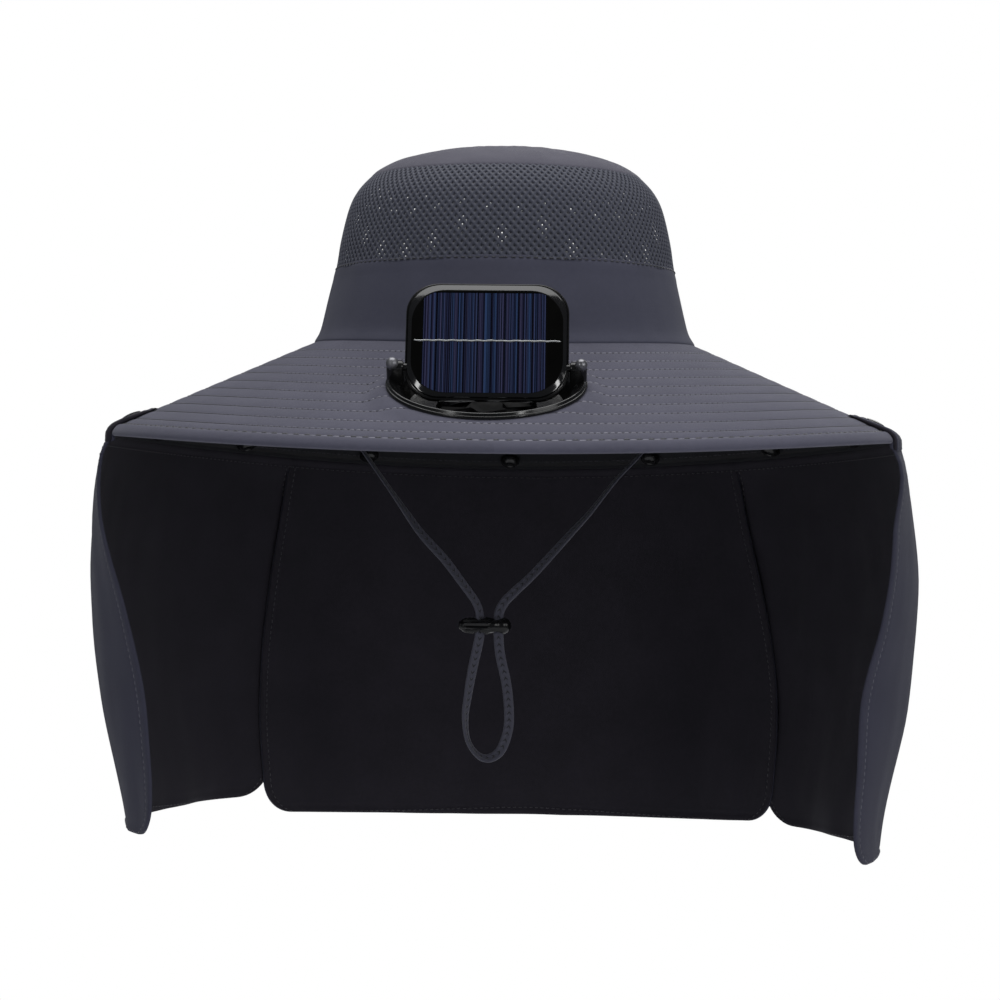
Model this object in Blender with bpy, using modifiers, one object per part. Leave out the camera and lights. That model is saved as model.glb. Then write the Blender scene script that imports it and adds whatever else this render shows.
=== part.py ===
"""Solar fan hat: quilted brim, net crown, hung neck flap, and a fan under a tilting solar panel.

Metres, +Z up. The front looks along -Y, and the origin is the centre of the head opening.
"""

import math

import bmesh
import bpy
from mathutils import Matrix, Vector

# Crown: a cloth cap, a net band and a plain band that flares to the brim seam
SEAM_RADIUS = 0.094
CROWN_HEIGHT = 0.0975
CROWN_WALL = 0.0015
SEAM_DIP = 0.0044
SEW_GAP = 0.0003
CROWN_BAND_SHARE = 0.385
CROWN_CAP_SHARE = 0.84

# Brim: how far the rim lies below the seam plane in front, at the sides and behind
BRIM_RADIUS = 0.195
BRIM_WALL = 0.0024
RIM_DROP_FRONT = 0.0545
RIM_DROP_SIDE = 0.0447
RIM_DROP_REAR = 0.0565
RIM_ROLL = 0.003
RIM_LIP = 0.003
LINING_WALL = 0.0008

# Neck flap: a band lapped over the rim and three panels that hang from it
FLAP_WALL = 0.0016
FLAP_LAP = 0.022
FLAP_SKIRT = 0.003
FLAP_END = math.radians(106.5)
FLAP_DROP_LEFT = 0.242
FLAP_DROP_BACK = 0.257
FLAP_DROP_RIGHT = 0.252
FLAP_BULGE = 0.010
FLAP_WAVE = 0.0015
FLAP_WAVE_COUNT = 5
FLAP_WAVE_START = 0.6
FLAP_CURL_LEFT = 0.022
FLAP_CURL_RIGHT = 0.020
FLAP_CURL_SPAN = math.radians(19)
FLAP_OVERLAP = math.radians(3)
FLAP_OVERLAP_START = 0.25
FLAP_OVERLAP_SPAN = 0.25
FLAP_STEP = 0.0026
FLAP_STEP_SPAN = 0.2
FLAP_END_LIFT = 0.0012
FLAP_END_LIFT_SPAN = math.radians(3)
FLAP_CORNER_SHARE = 0.8
SIDE_CORNER_REAR = 0.028
SIDE_CORNER_FRONT = 0.014
BACK_CORNER = 0.018
SLIT_LEFT_TOP = math.radians(39)
SLIT_LEFT_SPREAD = math.radians(6)
SLIT_RIGHT_TOP = math.radians(40.5)
SLIT_RIGHT_SPREAD = math.radians(10.5)
BACK_HEM_ROUND = 0.005

# Snap fasteners through flap band, brim and lining
SNAP_COUNT = 9
SNAP_SPACING = math.radians(25.7)
SNAP_INSET = 0.011
SNAP_CAP_RADIUS = 0.005
SNAP_CAP_HEIGHT = 0.0018
SNAP_POST_RADIUS = 0.0015
SNAP_SOCKET_RADIUS = 0.0046
SNAP_SOCKET_HEIGHT = 0.0018
SNAP_CLEARANCE = 0.0004
SNAP_SEAT_GAP = 0.0007

# Fan housing on the front slope of the brim
UNIT_X = -0.005
UNIT_FROM_SEAM = 0.044
BASE_HALF_WIDTH = 0.0452
BASE_HALF_DEPTH = 0.038
BASE_STEP_WIDTH = 0.0032
BASE_RIM_WIDTH = 0.0020
BASE_FLANGE_HEIGHT = 0.0025
BASE_EDGE_HEIGHT = 0.0018
BASE_RIM_HEIGHT = 0.0045
BASE_WALL = 0.0018
DISH_DEPTH = 0.0095
DISH_SLOPE = 0.004
DUCT_RADIUS = 0.022
DUCT_DEPTH = 0.020
FIT_GAP = 0.0003
HOLE_CLEARANCE = 0.0007
COLLAR_WALL = 0.002
COLLAR_CLEARANCE = 0.0006
UNIT_FLAT_MARGIN = 0.014
UNIT_FLAT_FADE = 0.6

# Fan wheel, its motor boss and the grille that carries it
HUB_RADIUS = 0.0075
ROTOR_HEIGHT = 0.004
ROTOR_TIP_CLEARANCE = 0.001
BLADE_COUNT = 5
BLADE_PITCH = math.radians(32)
BLADE_THICKNESS_SHARE = 0.3
BLADE_ROOT_SHARE = 1.25
BLADE_TIP_SHARE = 0.97
BLADE_WIDTH_SHARE = 0.9
BLADE_HEIGHT_SHARE = 0.95
SHAFT_RADIUS = 0.001
SHAFT_LENGTH = 0.0028
SHAFT_END_GAP = 0.0002
GUARD_HEIGHT = 0.002
GUARD_RING_WIDTH = 0.0018
GUARD_BAR_WIDTH = 0.0012
GUARD_BAR_INSET = 0.0004
GUARD_MIDDLE_RING_RADIUS = 0.0135
GUARD_BAR_COUNT = 3

# Tilting solar panel between two ears
PANEL_WIDTH = 0.0734
PANEL_ABOVE_HINGE = 0.0408
PANEL_BELOW_HINGE = 0.016
PANEL_THICKNESS = 0.005
PANEL_CORNER = 0.0145
PANEL_CHAMFER = 0.003
PANEL_LEAN = math.radians(20)
HINGE_HEIGHT = 0.0073
HINGE_SETBACK = 0.0027
EAR_GAP = 0.0005
EAR_THICKNESS = 0.0076
EAR_RADIUS = 0.0052
EAR_ROUNDING = 0.0012
EAR_STEPS = 8
PIN_RADIUS = 0.0016
PIN_REACH = 0.003
CELL_WIDTH = 0.0554
CELL_HEIGHT = 0.0485
CELL_THICKNESS = 0.0007

# Chin tape and its spring toggle
CORD_RADIUS = 0.002
CORD_POINTS = 46
CORD_STEPS = 12
TOGGLE_RADIUS = 0.0042
TOGGLE_LEFT = -0.0194
TOGGLE_RIGHT = 0.0052
TOGGLE_Y = -0.022
TOGGLE_Z = -0.1393
TOGGLE_HOLE_CLEARANCE = 0.0008
BUTTON_RADIUS = 0.0022
BUTTON_LENGTH = 0.009
BUTTON_DEPTH = 0.006

# Outline of the toggle from its ball end to its mouth, as shares of its radius and length
TOGGLE_ROWS = (
    # radius, length
    (0.0, 1.0),
    (0.72, 0.95),
    (1.0, 0.83),
    (1.0, 0.72),
    (0.86, 0.62),
    (0.95, 0.50),
    (0.88, 0.22),
    (0.72, 0.0),
    (0.0, 0.0),
)

# How finely the round pieces are divided
COLUMNS = 36
FRONT_DENSITY = 0.2
OVAL_COLUMNS = 28
ROUND_COLUMNS = 18
SNAP_SIDES = 8
PIN_SIDES = 10
TOGGLE_SIDES = 12
PANEL_CORNER_STEPS = 5

# Shares of the crown's height and of the seam radius, from the seam upwards
BAND_ROWS = (
    # height, radius
    (0.0, 1.0),
    (0.067, 0.973),
    (0.23, 0.933),
)
NET_RADIUS_LOW = 0.897
NET_ROWS = (
    # height, radius
    (0.52, 0.875),
    (0.68, 0.835),
    (0.77, 0.790),
)
NET_RADIUS_HIGH = 0.725
CAP_ROWS = (
    # height, radius
    (0.886, 0.662),
    (0.935, 0.540),
    (0.980, 0.320),
    (1.0, 0.0),
)

# Shares of the way from the brim's inner edge to its rolled rim, inside the part that the flap laps
BRIM_ROWS = (0.0, 0.09, 0.30, 0.55)

# Hang of the flap: how far it stands out from the rim, as a share of its bulge
HANG_ROWS = (
    # way down, bulge
    (0.0, 0.0),
    (0.12, 0.55),
    (0.33, 1.0),
    (0.62, 0.55),
    (0.88, -0.65),
    (1.0, -1.0),
)

# How far the front edges of the side panels curl in, as a share of the curl
CURL_LEFT_ROWS = (
    # way down, curl
    (0.0, 0.0),
    (0.19, 0.18),
    (0.40, 0.73),
    (0.62, 1.0),
    (0.82, 0.86),
    (1.0, 0.5),
)
CURL_RIGHT_ROWS = (
    # way down, curl
    (0.0, 0.1),
    (0.19, 0.45),
    (0.40, 0.70),
    (0.60, 1.0),
    (0.82, 0.62),
    (1.0, 0.3),
)
PANEL_ROWS = (0.0, 0.08, 0.20, 0.33, 0.46, 0.60, 0.73)
CORNER_ROWS = (1.0, 0.55, 0.25, 0.06, 0.0)
SIDE_COLUMNS = 11
BACK_COLUMNS = 13

# Route of the chin tape, chosen by hand: left seam, toggle, loop, toggle, right seam
CORD_ROUTE = (
    (-0.0869, -0.014, 0.004),
    (-0.0868, -0.014, -0.007),
    (-0.0832, -0.016, -0.026),
    (-0.0755, -0.019, -0.044),
    (-0.0663, -0.020, -0.0575),
    (-0.0487, -0.022, -0.0819),
    (-0.0394, -0.022, -0.0946),
    (-0.0277, -0.022, -0.1073),
    (-0.0184, -0.022, -0.1195),
    (-0.0126, -0.022, -0.1275),
    (-0.0104, -0.022, -0.1335),
    (-0.0104, -0.022, -0.1393),
    (-0.0105, -0.022, -0.1455),
    (-0.0135, -0.022, -0.1600),
    (-0.0157, -0.022, -0.1732),
    (-0.0170, -0.022, -0.1850),
    (-0.0155, -0.022, -0.1960),
    (-0.0106, -0.022, -0.2030),
    (-0.0050, -0.022, -0.2045),
    (0.0006, -0.022, -0.2005),
    (0.0040, -0.022, -0.1910),
    (0.0045, -0.022, -0.1816),
    (0.0031, -0.022, -0.1679),
    (0.0000, -0.022, -0.1542),
    (-0.0010, -0.022, -0.1450),
    (-0.0010, -0.022, -0.1393),
    (-0.0009, -0.022, -0.1333),
    (0.0015, -0.022, -0.1280),
    (0.0070, -0.022, -0.1222),
    (0.0168, -0.022, -0.1127),
    (0.0339, -0.022, -0.0936),
    (0.0431, -0.022, -0.0834),
    (0.0558, -0.021, -0.0672),
    (0.0672, -0.020, -0.0550),
    (0.0765, -0.019, -0.0430),
    (0.0834, -0.016, -0.0250),
    (0.0868, -0.014, -0.007),
    (0.0869, -0.014, 0.004),
)
CORD_LEFT_HOLE_X = -0.0104
CORD_RIGHT_HOLE_X = -0.0010

# Values that follow from those above
UNIT_OUT = SEAM_RADIUS + UNIT_FROM_SEAM
RIM_SLOPE_FRONT = (RIM_DROP_FRONT - SEAM_DIP) / (BRIM_RADIUS - SEAM_RADIUS)
UNIT_TILT = math.atan(RIM_SLOPE_FRONT)
BRIM_INNER = SEAM_RADIUS + SEW_GAP
BRIM_STACK = BRIM_WALL + SEW_GAP + LINING_WALL
FLAP_PROUD = SEW_GAP + FLAP_WALL
FLAP_STEP_HELD = 2 * FLAP_OVERLAP
FLAP_STEP_FADE = 4 * FLAP_OVERLAP
EAR_INNER = PANEL_WIDTH / 2 + EAR_GAP
PIN_HOLE_RADIUS = PIN_RADIUS + FIT_GAP

PARTS = "solar_fan_hat"
CUTTERS = "solar_fan_hat_cutters"


def clear_scene():
    """Remove the objects that are open, and make the two collections."""
    for item in list(bpy.data.objects):
        bpy.data.objects.remove(item, do_unlink=True)
    for name in (PARTS, CUTTERS):
        collection = bpy.data.collections.new(name)
        bpy.context.scene.collection.children.link(collection)


def cloth(name, colour):
    """Woven polyester: matt, with the colour given as linear red, green and blue."""
    return material(name, colour, 0.85, 0.0)


def plastic(name, colour, roughness=0.3):
    """Moulded plastic of one colour."""
    return material(name, colour, roughness, 0.0)


def material(name, colour, roughness, metallic):
    """A Principled material of its own for one object."""
    made = bpy.data.materials.new(name + "_material")
    made.use_nodes = True
    shader = made.node_tree.nodes["Principled BSDF"]
    shader.inputs["Base Color"].default_value = (*colour, 1.0)
    shader.inputs["Roughness"].default_value = roughness
    shader.inputs["Metallic"].default_value = metallic
    return made


GREY = (0.045, 0.045, 0.062)
DARK_GREY = (0.035, 0.036, 0.05)
BLACK_CLOTH = (0.010, 0.010, 0.013)
BLACK = (0.006, 0.006, 0.006)
CELL_BLUE = (0.012, 0.016, 0.045)


def put(name, data, finish, parent=None, cutter=False):
    """Make an object from a mesh or curve and put it in its collection."""
    item = bpy.data.objects.new(name, data)
    data.materials.append(finish)
    bpy.data.collections[CUTTERS if cutter else PARTS].objects.link(item)
    if cutter:
        item.hide_render = True
        item.display_type = "WIRE"
    if parent:
        item.parent = parent
    return item


def finished(working, name):
    """Weld a bmesh, point its faces outwards and turn it into a mesh."""
    bmesh.ops.remove_doubles(working, verts=working.verts, dist=1e-7)
    bmesh.ops.recalc_face_normals(working, faces=working.faces)
    mesh = bpy.data.meshes.new(name)
    working.to_mesh(mesh)
    working.free()
    return mesh


def loft(name, sections, all_round):
    """Join closed sections one to the next; open ends are closed between their two sides.

    A section runs along one side and back along the other, and both sides are split the same way,
    so that walls that lie on each other keep their gap.
    """
    working = bmesh.new()
    loops = [[working.verts.new(point) for point in section] for section in sections]
    size = len(loops[0])
    for index in range(len(loops) if all_round else len(loops) - 1):
        here = loops[index]
        there = loops[(index + 1) % len(loops)]
        for corner in range(size):
            after = (corner + 1) % size
            if corner < size // 2:
                working.faces.new((here[corner], here[after], there[after]))
                working.faces.new((here[corner], there[after], there[corner]))
            else:
                working.faces.new((here[corner], here[after], there[corner]))
                working.faces.new((here[after], there[after], there[corner]))
    if not all_round:
        for end in (loops[0], loops[-1]):
            for corner in range(size // 2 - 1):
                opposite = size - 1 - corner
                working.faces.new((end[corner], end[corner + 1], end[opposite - 1], end[opposite]))
    return finished(working, name)


def stack(name, outlines):
    """Solid through flat outlines of equal length, with a face on the first and on the last."""
    working = bmesh.new()
    loops = [[working.verts.new(point) for point in outline] for outline in outlines]
    size = len(loops[0])
    for here, there in zip(loops, loops[1:]):
        for corner in range(size):
            after = (corner + 1) % size
            working.faces.new((here[corner], here[after], there[after], there[corner]))
    working.faces.new(loops[0])
    working.faces.new(loops[-1])
    return finished(working, name)


def profile_mesh(name, profile):
    """Profile for a turned piece: a line of (radius, height) that runs down its outer side."""
    working = bmesh.new()
    points = [working.verts.new((radius, 0.0, height)) for radius, height in profile]
    for upper, lower in zip(points, points[1:]):
        working.edges.new((upper, lower))
    mesh = bpy.data.meshes.new(name)
    working.to_mesh(mesh)
    working.free()
    return mesh


def add_screw(item, steps):
    """Turn an object's profile about its own Z axis."""
    screw = item.modifiers.new("turn", "SCREW")
    screw.steps = steps
    screw.render_steps = steps
    screw.use_merge_vertices = True
    screw.merge_threshold = 0.00001
    screw.use_smooth_shade = True


def cylinder(name, radius, low, high, sides, matrix):
    """Closed cylinder along the matrix's Z axis between two heights."""
    working = bmesh.new()
    middle = Matrix.Translation((0, 0, (low + high) / 2))
    bmesh.ops.create_cone(
        working, cap_ends=True, segments=sides, radius1=radius, radius2=radius,
        depth=high - low, matrix=matrix @ middle,
    )
    return finished(working, name)


def box(name, size, matrix):
    """Closed box of the given size, centred on the matrix."""
    working = bmesh.new()
    bmesh.ops.create_cube(working, size=1.0, matrix=matrix @ Matrix.Diagonal((*size, 1.0)))
    return finished(working, name)


def boolean(item, tool, operation):
    """Cut or join an object with another one."""
    change = item.modifiers.new(tool.name, "BOOLEAN")
    change.operation = operation
    change.object = tool
    change.solver = "EXACT"


def smooth_step(share):
    """Ease from 0 to 1."""
    held = min(max(share, 0.0), 1.0)
    return held * held * (3 - 2 * held)


def read_table(rows, place):
    """Value at a place in a table of (place, value) rows, on a smooth curve through them."""
    held = min(max(place, rows[0][0]), rows[-1][0])
    index = 0
    while index < len(rows) - 2 and rows[index + 1][0] < held:
        index += 1
    start, end = rows[index], rows[index + 1]
    before = rows[max(index - 1, 0)]
    after = rows[min(index + 2, len(rows) - 1)]
    span = end[0] - start[0]
    share = (held - start[0]) / span
    slope_start = (end[1] - before[1]) / (end[0] - before[0]) * span
    slope_end = (after[1] - start[1]) / (after[0] - start[0]) * span
    square = share * share
    cube = square * share
    return (
        (2 * cube - 3 * square + 1) * start[1]
        + (cube - 2 * square + share) * slope_start
        + (3 * square - 2 * cube) * end[1]
        + (cube - square) * slope_end
    )


def by_direction(front, side, rear, angle):
    """Value that runs smoothly round the hat; the angle is 0 in front and pi behind."""
    mean = (front + rear + 2 * side) / 4
    saddle = (front + rear - 2 * side) / 4
    return mean + saddle * math.cos(2 * angle) + (front - rear) / 2 * math.cos(angle)


def around(radius, height, angle):
    """Point at a radius and height, the angle counted from the front towards +X."""
    return Vector((radius * math.sin(angle), -radius * math.cos(angle), height))


def column_angles():
    """Angles of the round pieces' columns, closer together in front, where the fan sits."""
    turns = [2 * math.pi * index / COLUMNS for index in range(COLUMNS)]
    return [turn - FRONT_DENSITY * math.sin(turn) for turn in turns]


def seam_height(angle):
    """Height of the seam between crown and brim."""
    return by_direction(-SEAM_DIP, 0.0, -SEAM_DIP, angle)


def rim_height(angle):
    """Height of the brim's top surface at the rim."""
    return by_direction(-RIM_DROP_FRONT, -RIM_DROP_SIDE, -RIM_DROP_REAR, angle)


def unit_height(y):
    """Height of the flat seat under the fan housing."""
    return -SEAM_DIP - RIM_SLOPE_FRONT * (-y - SEAM_RADIUS)


def unit_share(x, y):
    """1 where the brim is flat under the fan housing, fading to 0 round it."""
    half_width = BASE_HALF_WIDTH + UNIT_FLAT_MARGIN
    half_depth = (BASE_HALF_DEPTH + UNIT_FLAT_MARGIN) * math.cos(UNIT_TILT)
    away = math.hypot((x - UNIT_X) / half_width, (y + UNIT_OUT) / half_depth)
    from_seam = math.hypot(x, y) - SEAM_RADIUS
    near_seam = smooth_step(from_seam / (UNIT_OUT - SEAM_RADIUS - BASE_HALF_DEPTH * math.cos(UNIT_TILT)))
    return (1 - smooth_step((away - 1) / UNIT_FLAT_FADE)) * near_seam


def brim_height(radius, angle):
    """Height of the brim's top surface."""
    share = (radius - SEAM_RADIUS) / (BRIM_RADIUS - SEAM_RADIUS)
    inner = seam_height(angle)
    cone = inner + (rim_height(angle) - inner) * share
    place = around(radius, 0.0, angle)
    return cone + (unit_height(place.y) - cone) * unit_share(place.x, place.y)


def crown_rows(angle):
    """Rows of the crown at an angle, from foot to top: outer point, inner point and direction."""
    shares = (
        BAND_ROWS + ((CROWN_BAND_SHARE, NET_RADIUS_LOW),)
        + NET_ROWS + ((CROWN_CAP_SHARE, NET_RADIUS_HIGH),) + CAP_ROWS
    )
    outer = []
    for height_share, radius_share in shares:
        dip = seam_height(angle) * max(0.0, 1 - height_share / CROWN_BAND_SHARE)
        outer.append(Vector((SEAM_RADIUS * radius_share, CROWN_HEIGHT * height_share + dip)))
    outer.insert(0, outer[0] - Vector((0.0, BRIM_STACK)))
    rows = []
    for index, point in enumerate(outer):
        before = outer[max(index - 1, 0)]
        after = outer[min(index + 1, len(outer) - 1)]
        run = (after - before).normalized()
        if point.x == 0.0:
            run = Vector((-1.0, 0.0))
        inner = point + Vector((-run.y, run.x)) * CROWN_WALL
        inner.x = max(inner.x, 0.0)
        rows.append((point, inner, run))
    return rows


def crown_piece(name, first, last, finish):
    """Ring of the crown between two of its rows, with half the sewing gap taken off each seam."""
    sections = []
    for angle in column_angles():
        rows = crown_rows(angle)
        outer, inner = [], []
        for index in range(first, last + 1):
            point, back, run = rows[index]
            trim = 0.0
            if index == first and first > 0:
                trim = SEW_GAP / 2
            if index == last and last < len(rows) - 1:
                trim = -SEW_GAP / 2
            outer.append(point + run * trim)
            inner.append(back + run * trim)
        sections.append([around(point.x, point.y, angle) for point in outer + inner[::-1]])
    put(name, loft(name, sections, True), finish)


def make_crown():
    """Cap, net band and plain band, each sewn to the next with a small gap."""
    band_top = len(BAND_ROWS) + 1
    net_top = band_top + len(NET_ROWS) + 1
    crown_piece("crown_band", 0, band_top, cloth("crown_band", DARK_GREY))
    crown_piece("crown_net", band_top, net_top, cloth("crown_net", DARK_GREY))
    crown_piece("crown_top", net_top, net_top + len(CAP_ROWS), cloth("crown_top", GREY))


def brim_radii():
    """Radii of the brim's rows: those inside the flap band, then the band's own."""
    inside = [BRIM_INNER + share * (BRIM_RADIUS - RIM_ROLL - BRIM_INNER) for share in BRIM_ROWS]
    return inside + lap_radii()[:-1]


def lap_radii():
    """Radii of the rows that the brim and the flap band share."""
    return [BRIM_RADIUS - FLAP_LAP, BRIM_RADIUS - FLAP_LAP / 2, BRIM_RADIUS - RIM_ROLL]


def brim_section(angle):
    """Closed section of the brim: its top, rolled rim and underside."""
    top, under = [], []
    for radius in brim_radii():
        height = brim_height(radius, angle)
        top.append((radius, height))
        under.append((radius, height - BRIM_WALL))
    rim = rim_height(angle)
    roll_start = brim_height(BRIM_RADIUS - RIM_ROLL, angle)
    lip_inner = BRIM_RADIUS - BRIM_WALL
    top += [
        (BRIM_RADIUS - RIM_ROLL, roll_start),
        (BRIM_RADIUS - RIM_ROLL / 6, rim - RIM_ROLL / 3),
        (BRIM_RADIUS, rim - RIM_LIP),
    ]
    under += [
        (BRIM_RADIUS - RIM_ROLL, roll_start - BRIM_WALL),
        (lip_inner - RIM_ROLL / 8, rim - BRIM_WALL - RIM_ROLL / 8),
        (lip_inner, rim - RIM_LIP),
    ]
    return [around(radius, height, angle) for radius, height in top + under[::-1]]


def lining_section(angle):
    """Closed section of the cloth under the brim."""
    top, under = [], []
    outer_edge = BRIM_RADIUS - RIM_ROLL - 3 * SEW_GAP
    for radius in brim_radii() + [outer_edge]:
        height = brim_height(radius, angle) - BRIM_WALL - SEW_GAP
        top.append((radius, height))
        under.append((radius, height - LINING_WALL))
    return [around(radius, height, angle) for radius, height in top + under[::-1]]


def make_brim(hole, snap_holes):
    """Brim and its lining, both cut for the fan housing and the snaps."""
    angles = column_angles()
    brim = put("brim", loft("brim", [brim_section(angle) for angle in angles], True), cloth("brim", GREY))
    lining_mesh = loft("brim_lining", [lining_section(angle) for angle in angles], True)
    lining = put("brim_lining", lining_mesh, cloth("brim_lining", BLACK_CLOTH))
    for layer in (brim, lining):
        boolean(layer, hole, "DIFFERENCE")
        boolean(layer, snap_holes, "DIFFERENCE")


def band_angles():
    """Column angles of the flap band: the brim's own columns between its two ends."""
    first = math.pi - FLAP_END
    last = math.pi + FLAP_END
    inside = [angle for angle in column_angles() if first < angle < last]
    return [first] + inside + [last]


def band_section(angle):
    """Closed section of the flap band, lapped over the brim's rim."""
    rim = rim_height(angle)
    end_distance = FLAP_END - abs(angle - math.pi)
    lift = FLAP_END_LIFT * (1 - smooth_step(end_distance / FLAP_END_LIFT_SPAN))
    outer, inner = [], []
    for radius in lap_radii():
        height = brim_height(radius, angle) + lift
        outer.append((radius, height + FLAP_PROUD))
        inner.append((radius, height + SEW_GAP))
    corner = BRIM_RADIUS - RIM_ROLL / 6 + SEW_GAP
    outer_corner = corner + FLAP_WALL * FLAP_CORNER_SHARE
    outer.append((outer_corner, rim - RIM_ROLL / 3 + FLAP_PROUD * FLAP_CORNER_SHARE))
    inner.append((corner, rim - RIM_ROLL / 3 + SEW_GAP))
    foot = rim - RIM_LIP - FLAP_SKIRT
    outer.append((BRIM_RADIUS + FLAP_PROUD, foot))
    inner.append((BRIM_RADIUS + SEW_GAP, foot))
    return [around(radius, height, angle) for radius, height in outer + inner[::-1]]


def panel_top(from_rear):
    """Height where the hanging panels start, just below the band."""
    return rim_height(math.pi - from_rear) - RIM_LIP - FLAP_SKIRT - 2 * SEW_GAP


def corner_inset(radius, above_bottom):
    """How far a rounded corner of this radius draws an edge in."""
    if above_bottom >= radius:
        return 0.0
    return radius - math.sqrt(radius ** 2 - (radius - above_bottom) ** 2)


def hang_radius(height, from_rear):
    """Radius of the panels' outer face at a height: bulge and soft waves, the same for all panels."""
    top = panel_top(from_rear)
    down = (top - height) / (top + FLAP_DROP_BACK)
    wave = FLAP_WAVE * down * math.sin(FLAP_WAVE_COUNT * from_rear + FLAP_WAVE_START)
    return BRIM_RADIUS + FLAP_PROUD + FLAP_BULGE * read_table(HANG_ROWS, down) + wave


def slit_angle(slit_top, slit_spread, down, drop):
    """Angle of a slit from the rear, as far down as this share of a panel's drop."""
    top = panel_top(slit_top)
    fallen = (top + drop) * down / (top + FLAP_DROP_BACK)
    return slit_top + slit_spread * smooth_step(fallen)


def panel_rows(corner, length):
    """Ways down of a panel's rows, closer together at its rounded corners."""
    rows = [row * (1 - corner / length) / PANEL_ROWS[-1] for row in PANEL_ROWS]
    return rows[:-1] + [1 - corner / length * row for row in CORNER_ROWS]


def panel_point(side, from_rear, down, drop, stand_out):
    """Outer and inner point of a hanging panel."""
    top = panel_top(from_rear)
    height = top + (-drop - top) * down
    radius = hang_radius(height, side * from_rear) + stand_out
    spots = []
    for here in (radius, radius - FLAP_WALL):
        spots.append(Vector((side * here * math.sin(from_rear), here * math.cos(from_rear), height)))
    return spots


def make_side_panel(name, side, drop, slit_top, slit_spread, curl, curl_rows):
    """Hanging side panel: its rear edge lies outside the back panel, its front edge curls in."""
    length = drop - RIM_DROP_SIDE
    sections = []
    for column in range(SIDE_COLUMNS):
        across = column / (SIDE_COLUMNS - 1)
        outer, inner = [], []
        for down in panel_rows(SIDE_CORNER_REAR, length):
            above = (1 - down) * length
            tuck = FLAP_OVERLAP * smooth_step((down - FLAP_OVERLAP_START) / FLAP_OVERLAP_SPAN)
            rear = slit_angle(slit_top, slit_spread, down, drop) + SEW_GAP / BRIM_RADIUS - tuck
            rear += corner_inset(SIDE_CORNER_REAR, above) / BRIM_RADIUS
            front = FLAP_END - corner_inset(SIDE_CORNER_FRONT, above) / BRIM_RADIUS
            from_rear = rear + (front - rear) * across
            past_overlap = (from_rear - rear - FLAP_STEP_HELD) / FLAP_STEP_FADE
            step = FLAP_STEP * smooth_step(down / FLAP_STEP_SPAN) * (1 - smooth_step(past_overlap))
            into_curl = max(0.0, (from_rear - FLAP_END + FLAP_CURL_SPAN) / FLAP_CURL_SPAN)
            pull = curl * read_table(curl_rows, down) * into_curl ** 2
            outer_point, inner_point = panel_point(side, from_rear, down, drop, step - pull)
            outer.append(outer_point)
            inner.append(inner_point)
        sections.append(outer + inner[::-1])
    put(name, loft(name, sections, False), cloth(name, GREY))


def make_back_panel():
    """Hanging back panel between the two slits."""
    length = FLAP_DROP_BACK - RIM_DROP_REAR
    sections = []
    for column in range(BACK_COLUMNS):
        across = column / (BACK_COLUMNS - 1)
        outer, inner = [], []
        for down in panel_rows(BACK_CORNER, length):
            inset = (corner_inset(BACK_CORNER, (1 - down) * length) + SEW_GAP) / BRIM_RADIUS
            left = inset - slit_angle(SLIT_LEFT_TOP, SLIT_LEFT_SPREAD, down, FLAP_DROP_BACK)
            right = slit_angle(SLIT_RIGHT_TOP, SLIT_RIGHT_SPREAD, down, FLAP_DROP_BACK) - inset
            from_rear = left + (right - left) * across
            rounded = BACK_HEM_ROUND * (2 * across - 1) ** 2
            outer_point, inner_point = panel_point(1, from_rear, down, FLAP_DROP_BACK - rounded, 0.0)
            outer.append(outer_point)
            inner.append(inner_point)
        sections.append(outer + inner[::-1])
    put("flap_back", loft("flap_back", sections, False), cloth("flap_back", GREY))


def make_flap(snap_holes):
    """Band over the rim and the three panels that hang from it."""
    sections = [band_section(angle) for angle in band_angles()]
    band = put("flap_band", loft("flap_band", sections, False), cloth("flap_band", GREY))
    boolean(band, snap_holes, "DIFFERENCE")
    make_side_panel("flap_left", -1, FLAP_DROP_LEFT, SLIT_LEFT_TOP, SLIT_LEFT_SPREAD,
                    FLAP_CURL_LEFT, CURL_LEFT_ROWS)
    make_back_panel()
    make_side_panel("flap_right", 1, FLAP_DROP_RIGHT, SLIT_RIGHT_TOP, SLIT_RIGHT_SPREAD,
                    FLAP_CURL_RIGHT, CURL_RIGHT_ROWS)


def snap_places():
    """Place and tilt of each snap, on the brim's slope near the rim."""
    radius = BRIM_RADIUS - SNAP_INSET
    small = 0.001
    places = []
    for index in range(SNAP_COUNT):
        angle = math.pi + (index - (SNAP_COUNT - 1) / 2) * SNAP_SPACING
        point = around(radius, brim_height(radius, angle), angle)
        outward = around(radius + small, brim_height(radius + small, angle), angle) - point
        sideways = around(radius, brim_height(radius, angle + small), angle + small) - point
        normal = outward.cross(sideways).normalized()
        if normal.z < 0:
            normal.negate()
        turn = Vector((0, 0, 1)).rotation_difference(normal).to_matrix().to_4x4()
        places.append(Matrix.Translation(point) @ turn)
    return places


def make_snap_holes():
    """One cutter that holds the post holes of all snaps."""
    reach = 2 * (BRIM_STACK + FLAP_PROUD)
    working = bmesh.new()
    for place in snap_places():
        bmesh.ops.create_cone(
            working, cap_ends=True, segments=SNAP_SIDES, radius1=SNAP_POST_RADIUS + SNAP_CLEARANCE,
            radius2=SNAP_POST_RADIUS + SNAP_CLEARANCE, depth=2 * reach, matrix=place,
        )
    mesh = finished(working, "snap_holes")
    return put("snap_holes", mesh, plastic("snap_holes", BLACK), cutter=True)


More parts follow.
